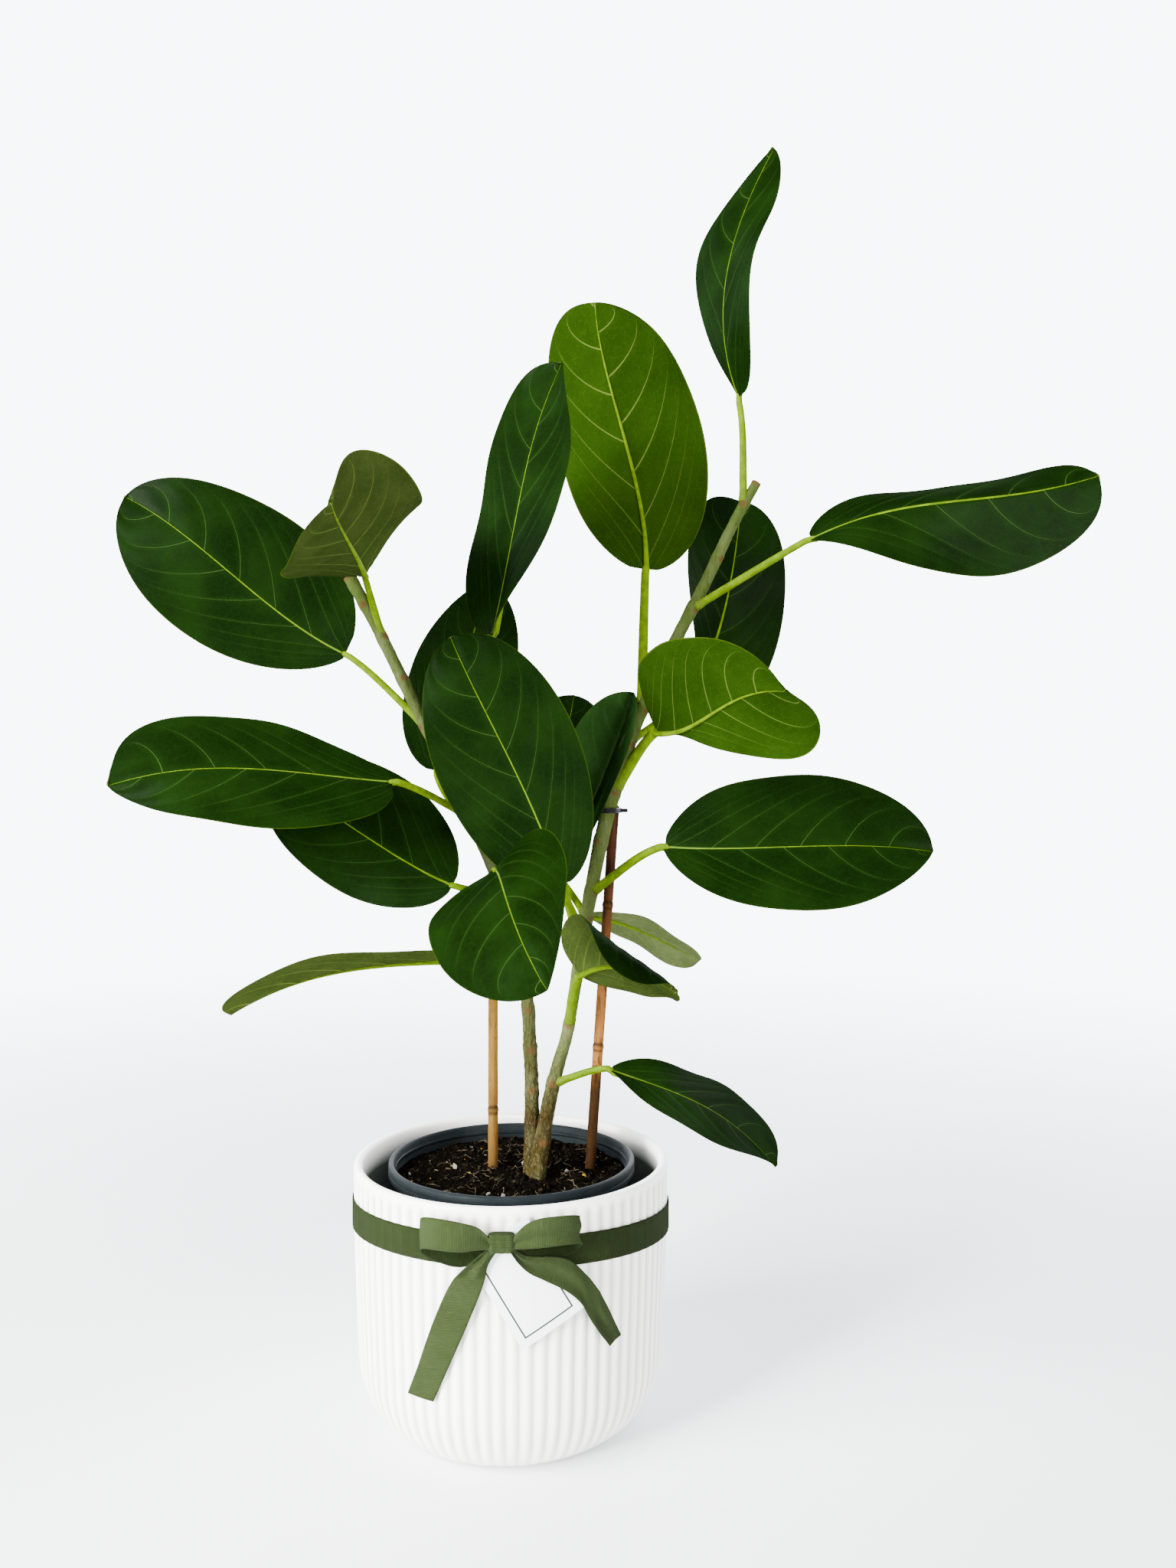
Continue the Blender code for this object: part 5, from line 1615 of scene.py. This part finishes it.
LEAVES = (
    Leaf(((180, -20, 804), (167, -22, 873), (180, -18, 942), (209, -10, 1008)), (-0.82, -0.57, 0),
         Half(56, (-48, -4, -14), (-15, -15), 0.9, 0.37), Half(55, (19, 15, -18), base=0.42, tip=0.75),
         "right", 722),
    Leaf(((108, 12, 674), (100, 24, 752), (80, 28, 829), (67, 18, 896)), (0, 1, 0),
         Half(66, (-1, 6, -2), base=0.52, tip=0.53), Half(57, (-20, 18, 15), base=0.4, tip=0.37),
         "right", 560, stalk=1.35, shade=Shade.BRIGHT),
    Leaf(((-12, -60, 611), (5, -60, 696), (19, -60, 760), (41, -55, 821)), (-0.85, -0.53, 0.05),
         Half(56, (32, 5, 28), base=0.48, tip=0.42), Half(56, (29, -8, 9), base=0.41, tip=0.69),
         "left", 490),
    Leaf(((229, -55, 687), (298, -70, 708), (367, -72, 716), (445, -65, 733)), (0, -0.75, 0.66),
         Half(56, (5, -16, -6), (-20, -20), 0.6, 0.36), Half(58, (20, -42, -38), base=0.7, tip=0.44),
         "right", 640),
    Leaf(((143, 35, 572), (169, 55, 620), (184, 62, 679), (190, 45, 739)), (0, -1, 0.15),
         Half(53, (-47, -38, -50), base=1.6, tip=0.35), Half(52, (10, -8, 18), base=0.34, tip=0.44),
         "right", 533),
    Leaf(((115, -30, 542), (140, -85, 545), (161, -140, 558), (189, -190, 562)), (0.72, 0.5, 0.42),
         Half(59, (14, -12, 10), base=2.2, tip=0.46), Half(63, (-15, 0, 20), base=0.3, tip=0.44),
         "right", 494, (-8, 8, 38), 1.5, shade=Shade.BRIGHT),
    Leaf(((119, -45, 453), (186, -60, 453), (254, -65, 455), (322, -60, 450)), (0.1, -0.85, 0.5),
         Half(62, (28, 1, 16), base=0.58, tip=0.58), Half(59, (12, 10, 4), base=0.76, tip=0.8),
         "right", 415, stalk=1.2),
    Leaf(((78, -35, 280), (125, -50, 267), (166, -55, 247), (205, -50, 209)), (0, -0.26, 0.97),
         Half(47, (22, -3, 17), base=0.65, tip=0.37), Half(38, (10, -3, 16), base=0.95, tip=0.75),
         "right", 264),
    Leaf(((55, -38, 353), (77, -62, 364), (100, -90, 364), (124, -120, 354)), (0.65, 0.54, 0.55),
         Half(44, (20, 20, 20), tip=0.6), Half(48, (2, 15, 10), (20, -60, -240), 0.25, 0.35),
         "right", 310, stalk=1.3),
    Leaf(((57, 55, 389), (89, 65, 383), (124, 75, 367), (159, 80, 348)), (0, 0.3, 0.95),
         Half(33, (5, -6, -30), base=0.7, tip=0.3), Half(26, (5, 5, 5), base=0.7, tip=0.35), "right", 352,
         (-12, 0, 12), shade=Shade.PALE),
    Leaf(((-133, 2, 605), (-192, -8, 643), (-250, -8, 691), (-314, 7, 734)), (0, -0.95, 0.2),
         Half(61, (5, -5, 9), base=0.76, tip=0.58), Half(66, (12, -3, 6), base=0.43, tip=0.6), "left", 548),
    Leaf(((-116, -14, 666), (-113, -75, 674), (-110, -137, 678), (-105, -196, 682)), (-0.6, 0, 0.8),
         Half(64, (24, 1, 42), base=0.22, tip=0.27), Half(55, (35, 9, 0), base=0.37, tip=0.67),
         "left", 618),
    Leaf(((-85, -60, 503), (-153, -75, 510), (-222, -78, 513), (-300, -65, 500)), (0, -0.7, 0.7),
         Half(60, (8, 0, -17), base=0.41, tip=0.74), Half(60, (7, -2, 9), base=0.69, tip=0.23),
         "left", 474),
    Leaf(((-42, -45, 423), (-91, -32, 447), (-141, -22, 478), (-192, -15, 508)), (0, -0.87, 0.5),
         Half(47, (-14, -14, -14)), Half(58), "left", 412),
    Leaf(((41, -50, 423), (16, -72, 491), (-14, -78, 553), (-42, -66, 611)), (-0.1, -1, 0.1),
         Half(55, base=0.45, tip=0.55), Half(54), "right", 382),
    Leaf(((-7, -90, 438), (2, -145, 432), (15, -195, 408), (36, -225, 373)), (-0.35, -0.48, 0.78),
         Half(49, (22, 0, 0), base=0.3, tip=0.8), Half(57), "left", 420),
    Leaf(((-22, -30, 366), (-84, -45, 364), (-146, -55, 355), (-209, -60, 327)), (0, 0.25, 0.97),
         Half(50, (9, 8, 3), base=0.78, tip=0.36), Half(45, (17, 17, 19), base=0.6), "left", 352),
    Leaf(((-63, 15, 511), (-52, 22, 563), (-37, 24, 614), (-19, 15, 665)), (0, -1, 0.1),
         Half(41, base=0.5, tip=0.65), Half(44), "left", 455),
    Leaf(((20, 55, 462), (31, 70, 499), (41, 82, 538), (49, 90, 579)), (0, -0.9, 0.4),
         Half(42), Half(42), "right", 395),
    Leaf(((42, -5, 430), (64, 0, 485), (84, 2, 535), (97, 0, 575)), (-0.2, -0.97, 0.1),
         Half(52, (62, 62, 62)), Half(52, (66, 66, 66)), "right", 368, tone=Tone.FRESH))


def build_leaves() -> None:
    """Build every leaf with the finishes of its two faces and the shared stalk."""
    stalk = StalkSkin().make()
    upper = {tone: UpperFace(tone).make() for tone in Tone}
    under = {shade: UnderFace(shade).make() for shade in Shade}
    for number, leaf in enumerate(LEAVES, start=1):
        leaf.build(number, [upper[leaf.tone], under[leaf.shade], stalk])


# ---------------------------------------------------------------- ribbon, bow and tag

@dataclass(frozen=True)
class Ribbon:
    """The ribbon and the pot that it goes round.

    Args:
        width: the ribbon's width.
        thickness: the cloth's thickness.
        pot: the pot's radius.
        clear: how far the cloth's back is from the pot.
        top: the band's mean upper edge.
        front: how much higher it is at the front than at the sides.
        right: how much higher it is at the right than in the middle.
    """

    width: float = 22.0
    thickness: float = 0.55
    pot: float = 125.0
    clear: float = GAP
    top: float = 172.2
    front: float = 11.3
    right: float = -3.2

    def place(self, along: np.ndarray, height: np.ndarray, over: np.ndarray) -> np.ndarray:
        """Points at distances along the band from the front, heights, and distances over the band.

        The angle is along / pot radius from the front, and the radius is the band's plus over.
        """
        radius = self.pot + 1.3 + over
        angle = along / self.pot
        return np.stack([radius * np.sin(angle), -radius * np.cos(angle),
                         np.broadcast_to(height, np.shape(radius))], axis=-1)

    def strip(self, middle: np.ndarray, thick: np.ndarray, flat: np.ndarray, shade: np.ndarray) -> Skin:
        """A sheet of cloth round a grid of points: the grid moved half a thickness to both sides.

        Args:
            middle: (rows, columns, 3) points.
            thick: (rows, columns, 3) directions out of the cloth.
            flat: (rows, columns, 2) places on the unrolled ribbon.
            shade: how much painted shade each row gets for lying deep inside a loop, from 0 to 1.

        Returns:
            The closed sheet.
        """
        step = thick * self.thickness / 2
        rings = np.concatenate([middle + step, (middle - step)[:, ::-1]], axis=1)
        marks = np.repeat(shade[:, None, None], rings.shape[1], axis=1) * np.array([1.0, 0, 0])
        return ring_skin(rings, values={"cloth": marks}, flat=np.concatenate([flat, flat[:, ::-1]], axis=1))

    def band(self) -> bpy.types.Object:
        """Make the band: a tipped ring whose cloth dips 0.25 mm between the flutes' crests, darkened all over with
        painted shade.
        """
        rows, columns = 840, 12
        turn = np.arange(rows) * 2 * math.pi / rows
        across = np.linspace(-0.5, 0.5, columns)
        from_front = turn + math.pi / 2
        top = self.top + self.front * np.cos(from_front) + self.right * np.sin(from_front)
        height = top[:, None] - self.width / 2 + across[None, :] * self.width
        dip = 0.25 * (0.5 - 0.5 * np.cos(75 * turn))
        radius = self.pot + self.clear + self.thickness / 2 + 0.25 - dip
        circle = np.stack([np.cos(turn), np.sin(turn)], axis=-1)
        grid = np.zeros((rows, 2 * columns, 3))
        side = np.concatenate([np.full(columns, 0.5), np.full(columns, -0.5)]) * self.thickness
        grid[..., :2] = circle[:, None] * (radius[:, None] + side[None, :])[..., None]
        grid[..., 2] = np.concatenate([height, height[:, ::-1]], axis=1)
        index = np.arange(rows * 2 * columns).reshape(rows, 2 * columns)
        ahead = np.roll(index, -1, 0)
        quads = np.stack([index, np.roll(index, -1, 1), np.roll(ahead, -1, 1), ahead], axis=-1)
        length = turn * self.pot
        wide = np.concatenate([across, across[::-1]]) * self.width
        flat = np.stack(np.broadcast_arrays(length[:, None], wide[None, :]), axis=-1)
        # Painted shade: the whole band is darkened toward the ribbon's shade colour, as if it lay in shade.
        marks = np.full(grid.shape, 0.6) * np.array([1.0, 0, 0])
        skin = Skin(grid, quads, values={"cloth": marks}, flat=flat)
        piece = skin.build("ribbon_band_cloth", [self.finish])
        return settle(piece, "ribbon_band")

    @property
    def finish(self) -> bpy.types.Material:
        """The ribbon's material, made once."""
        return bpy.data.materials.get("grosgrain_ribbon") or Grosgrain().make()

    def length(self, name: str, node: str, course: Sequence, rows: int, held: str,
               pleat: float, inside: float = 2.0) -> bpy.types.Object:
        """Make a length of ribbon between two edges.

        Both edges are smoothed through the course's points; a place across is the straight mix of
        both. Where the edges come closer than the ribbon is wide, the cloth between them folds into
        one and a half waves whose height takes up the slack, up to 1.3 mm.

        Args:
            name: the piece's name.
            node: the CAD node that it stands for.
            course: rows of (along, height, over) for both edges.
            rows: how many rows to make.
            held: how the cloth is held, in the frame's words; not used.
            pleat: the share of the slack that goes into folds.
            inside: the share of its run from which it lies inside a loop and gets painted shade; over 1 where it
                never does.

        Returns:
            The piece.
        """
        course = through([first + second for first, second in course], np.linspace(0, 1, rows))
        first = self.place(*course[:, :3].T)
        second = self.place(*course[:, 3:].T)
        across = np.linspace(0, 1, 15)
        grid = first[:, None] * (1 - across)[None, :, None] + second[:, None] * across[None, :, None]
        way = np.gradient((first + second) / 2, axis=0)
        thick = unit(np.cross(way, second - first))[:, None]
        run = np.concatenate([[0], np.cumsum(np.linalg.norm(np.diff((first + second) / 2, axis=0), axis=1))])
        apart = np.linalg.norm(second - first, axis=1)
        slack = apart / (1.5 * math.pi) * np.sqrt(np.clip(self.width / apart - 1, 0, 4))
        fold = pleat * np.clip(slack, 0, 1.3) * np.clip(10 * (1 - run / run[-1]), 0, 1)
        cup = np.sin(math.pi * across) - 0.64
        wave = fold[:, None] * np.cos(2 * math.pi * 1.5 * across)[None, :] + 0.45 * cup[None, :]
        grid = grid + thick * wave[..., None]
        thick = np.broadcast_to(thick, grid.shape)
        wide = (across - 0.5) * self.width
        flat = np.stack(np.broadcast_arrays(run[:, None], wide[None, :]), axis=-1)
        # Painted shade: from the share inside on, the loop's back strand is darkened as if in the loop's shade.
        shade = np.clip((run / run[-1] - inside) / 0.1, 0, 1)
        piece = self.strip(grid, thick, flat, shade).build(name, [self.finish])
        return settle(piece, node)


@dataclass(frozen=True)
class Bow:
    """The knot, the two loops and the two tails, tied over the band at the front.

    Args:
        ribbon: the ribbon that it is tied from.
        width: the knot's width.
        depth: the knot's depth.
        clear: the knot's back over the band.
        place: how far right of the front it sits.
        low: the knot's lower end.
        high: the knot's upper end.
    """

    ribbon: Ribbon
    width: float = 19.0
    depth: float = 8.5
    clear: float = 1.6
    place: float = 1.0
    low: float = 175.0
    high: float = 188.0

    LOOP_LEFT = (
        (-7, 186, 177, 8.4), (-14, 194, 177.5, 11.5), (-25, 198, 176.8, 15), (-40, 199.5, 177.3, 16),
        (-49, 198.3, 176, 13.5), (-54, 194.8, 172.4, 9.6), (-52, 190.5, 168, 6),
        (-42, 187, 164.5, 4.8), (-29, 185, 162.8, 4.8), (-17, 184.8, 167, 5), (-7, 184.5, 176.5, 5.4))
    LOOP_RIGHT = (
        (9, 187, 178, 8.4), (17, 196, 179, 11.5), (26, 200.5, 180.5, 15), (39, 201.2, 181.2, 16),
        (49, 199.5, 179.8, 13.5), (52.8, 196.8, 177, 10), (50, 191.5, 170.5, 5.8),
        (41, 189, 168, 4.8), (29, 188, 167.5, 4.6), (18, 186.5, 170.5, 4.8), (9, 185.5, 176.5, 5.2))
    TAIL_LEFT = (
        ((-5, 181, 7.4), (-1, 177, 7.4)), ((-22, 165, 6.2), (-8, 165, 6.2)),
        ((-35, 149, 4.2), (-12, 149, 4.2)), ((-50, 117, 1.2), (-24, 119, 1.2)),
        ((-63, 85, -1), (-38, 88, -1)), ((-74, 62, -3), (-51, 61, -3)))
    TAIL_RIGHT = (
        ((6, 181, 7), (6, 177, 7)), ((15, 173, 7.6), (12, 168, 7.6)), ((25, 171, 8), (19, 161, 8)),
        ((36, 170, 8), (29, 155, 8)), ((47, 166, 7.6), (43, 146, 7.6)),
        ((57, 156, 7), (54, 135, 7)), ((67, 143, 5.8), (62, 121, 6.2)),
        ((79, 124, 3.6), (70, 108, 5)), ((91, 101, 1.6), (79, 97, 3.6)))

    def knot(self) -> bpy.types.Object:
        """Make the knot: a rounded block in plan, with smaller ends, and three pleats down its front.

        In plan it is the curve (cosine, sine) with both raised to the power 0.6. The pleats are
        0.4 mm high, as the cosine of three turns across the width.
        """
        sides, rows = 96, 30
        turn = np.arange(sides) * 2 * math.pi / sides
        x = np.sign(np.cos(turn)) * np.abs(np.cos(turn))**0.6
        y = np.sign(np.sin(turn)) * np.abs(np.sin(turn))**0.6
        rise = np.linspace(0, 1, rows)
        size = 0.80 + 0.20 * np.sin(math.pi * rise)**0.35
        pleat = 0.4 * np.cos(3 * math.pi * x)[None, :] * np.clip(y, 0, 1)[None, :]
        across = self.width / 2 * size[:, None] * x[None, :]
        depth = self.depth / 2 * size[:, None] * y[None, :] + pleat - 0.4
        height = self.low + (self.high - self.low) * rise
        rings = self.ribbon.place(self.place + across, height[:, None], self.clear + self.depth / 2 + depth)
        flat = np.stack(np.broadcast_arrays(height[:, None], self.ribbon.width * 0.48 * x[None, :]),
                        axis=-1)
        piece = ring_skin(rings, flat=flat).build("bow_knot_cloth", [self.ribbon.finish], 75.0)
        return settle(piece, "bow_knot")

    def build(self) -> None:
        """Make the knot, the loops and the tails."""
        self.knot()
        for node, course in (("bow_loop_left", self.LOOP_LEFT), ("bow_loop_right", self.LOOP_RIGHT)):
            edges = [((a, top, over), (a, bottom, over)) for a, top, bottom, over in course]
            self.ribbon.length(f"{node}_cloth", node, edges, 150, "folded", 0.6, 0.48)
        for node, course in (("ribbon_tail_left", self.TAIL_LEFT), ("ribbon_tail_right", self.TAIL_RIGHT)):
            self.ribbon.length(f"{node}_cloth", node, course, 130, "hung", 1.0)


@dataclass(frozen=True)
class Tag:
    """The blank card under the bow.

    Args:
        length: its length.
        width: its width.
        thickness: its thickness.
        tilt: degrees that it leans to the left.
        centre: its middle, along the band from the front and in height.
        bend: the radius that it is bent to.
        touch: where along the band it touches the cloth.
        start: the radius at that line.
    """

    length: float = 78.0
    width: float = 51.0
    thickness: float = 0.6
    tilt: float = 31.0
    centre: tuple = (17.0, 150.5)
    bend: float = 220.0
    touch: float = 11.0
    start: float = 126.6

    def build(self) -> bpy.types.Object:
        """Make the card: a tilted rectangle rolled onto a cylinder of the bend radius."""
        rows, columns = 60, 40
        up, side = np.meshgrid(np.linspace(-0.5, 0.5, rows) * self.length,
                               np.linspace(-0.5, 0.5, columns) * self.width, indexing="ij")
        tilt, touch = math.radians(self.tilt), self.touch / 125.0
        along = self.centre[0] + side * math.cos(tilt) - up * math.sin(tilt)
        height = self.centre[1] + side * math.sin(tilt) + up * math.cos(tilt)
        turn = (along - self.touch) / self.bend
        faces = []
        for over in (self.thickness, 0.0):
            sideways = (self.bend + over) * np.sin(turn)
            outwards = self.start + over - (self.bend + over) * (1 - np.cos(turn))
            faces.append(np.stack([sideways * math.cos(touch) + outwards * math.sin(touch),
                                   sideways * math.sin(touch) - outwards * math.cos(touch), height], axis=-1))
        rings = np.concatenate([faces[0], faces[1][:, ::-1]], axis=1)
        flat = np.stack([side, up], axis=-1)
        front = np.zeros((rows, 2 * columns, 3))
        front[:, :columns, 0] = 1.0
        skin = ring_skin(rings, values={"card": front}, flat=np.concatenate([flat, flat[:, ::-1]], axis=1))
        return settle(skin.build("gift_tag_card", [Card().make()], 60.0), "gift_tag")


# ---------------------------------------------------------------- stage

@dataclass(frozen=True)
class Studio:
    """The camera, a pale floor and soft light.

    Args:
        eye: the camera's place in metres; it looks level along +Y.
        lens: its focal length in millimetres, on a 36 mm sensor.
        air: the light from all round.
    """

    eye: tuple = (0.0613, -0.98, 0.501)
    lens: float = 27.95
    air: Air = Air()

    def camera(self) -> None:
        """Place the camera."""
        data = bpy.data.cameras.new("camera")
        data.lens = self.lens
        data.sensor_width = 36.0
        data.clip_start = 0.01
        camera = bpy.data.objects.new("camera", data)
        camera.location = self.eye
        camera.rotation_euler = (math.radians(90), 0, 0)
        bpy.context.scene.collection.objects.link(camera)
        bpy.context.scene.camera = camera

    def floor(self) -> None:
        """Make the floor: a thin wide disc just under the pot's foot."""
        turn = np.arange(96) * 2 * math.pi / 96
        circle = np.stack([np.cos(turn), np.sin(turn), np.zeros(96)], axis=-1) * 9000.0
        rings = np.stack([circle - np.array([0, 0, 20.0]), circle])
        piece = ring_skin(rings).build("floor", [StudioFloor(self.air).make()], 30.0)

    def light(self, name: str, place: tuple, aim: tuple, size: float, power: float, colour: Colour,
              spread: float = 180.0) -> None:
        """Add one soft square light.

        Args:
            name: its name.
            place: where it is, in metres.
            aim: the point that it faces.
            size: its side in metres.
            power: its power in watts.
            colour: its colour.
            spread: how wide its beam is, in degrees.
        """
        data = bpy.data.lights.new(name, "AREA")
        data.size = size
        data.spread = math.radians(spread)
        data.energy = power
        data.color = colour
        lamp = bpy.data.objects.new(name, data)
        lamp.location = place
        back = unit(np.asarray(place, float) - np.asarray(aim, float))
        lamp.rotation_euler = (math.acos(back[2]), 0, math.atan2(back[0], -back[1]))
        bpy.context.scene.collection.objects.link(lamp)

    def build(self) -> None:
        """Set up the air, the lights, the floor and the camera."""
        bpy.context.scene.world = self.air.make()
        self.light("key", (-1.9, -1.3, 1.5), (0.05, 0.0, 0.40), 1.3, 340.0, (1.0, 0.99, 0.97))
        self.light("fill", (1.2, -2.4, 0.8), (0.05, 0.0, 0.30), 1.6, 130.0, (1.0, 0.97, 0.93))
        self.light("low", (-0.95, -1.05, 0.45), (0.0, -0.05, 0.09), 0.4, 3.8, (1.0, 0.98, 0.96), 26.0)
        self.light("rear", (0.9, 2.2, 1.6), (0.05, 0.0, 0.5), 1.4, 60.0, (0.96, 0.98, 1.0))
        self.floor()
        self.camera()


def main() -> None:
    """Build every piece in order, then the stage; each piece's face count is logged as it is settled."""
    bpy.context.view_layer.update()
    Cachepot().build()
    pot = NurseryPot()
    pot.build()
    soil = Soil(pot)
    soil.body()
    soil.crumbs()
    soil.fibres()
    build_stem()
    for stake in STAKES:
        stake.build()
    Tie().build()
    build_leaves()
    ribbon = Ribbon()
    ribbon.band()
    Bow(ribbon).build()
    Tag().build()
    Studio().build()


if __name__ == "__main__":
    main()
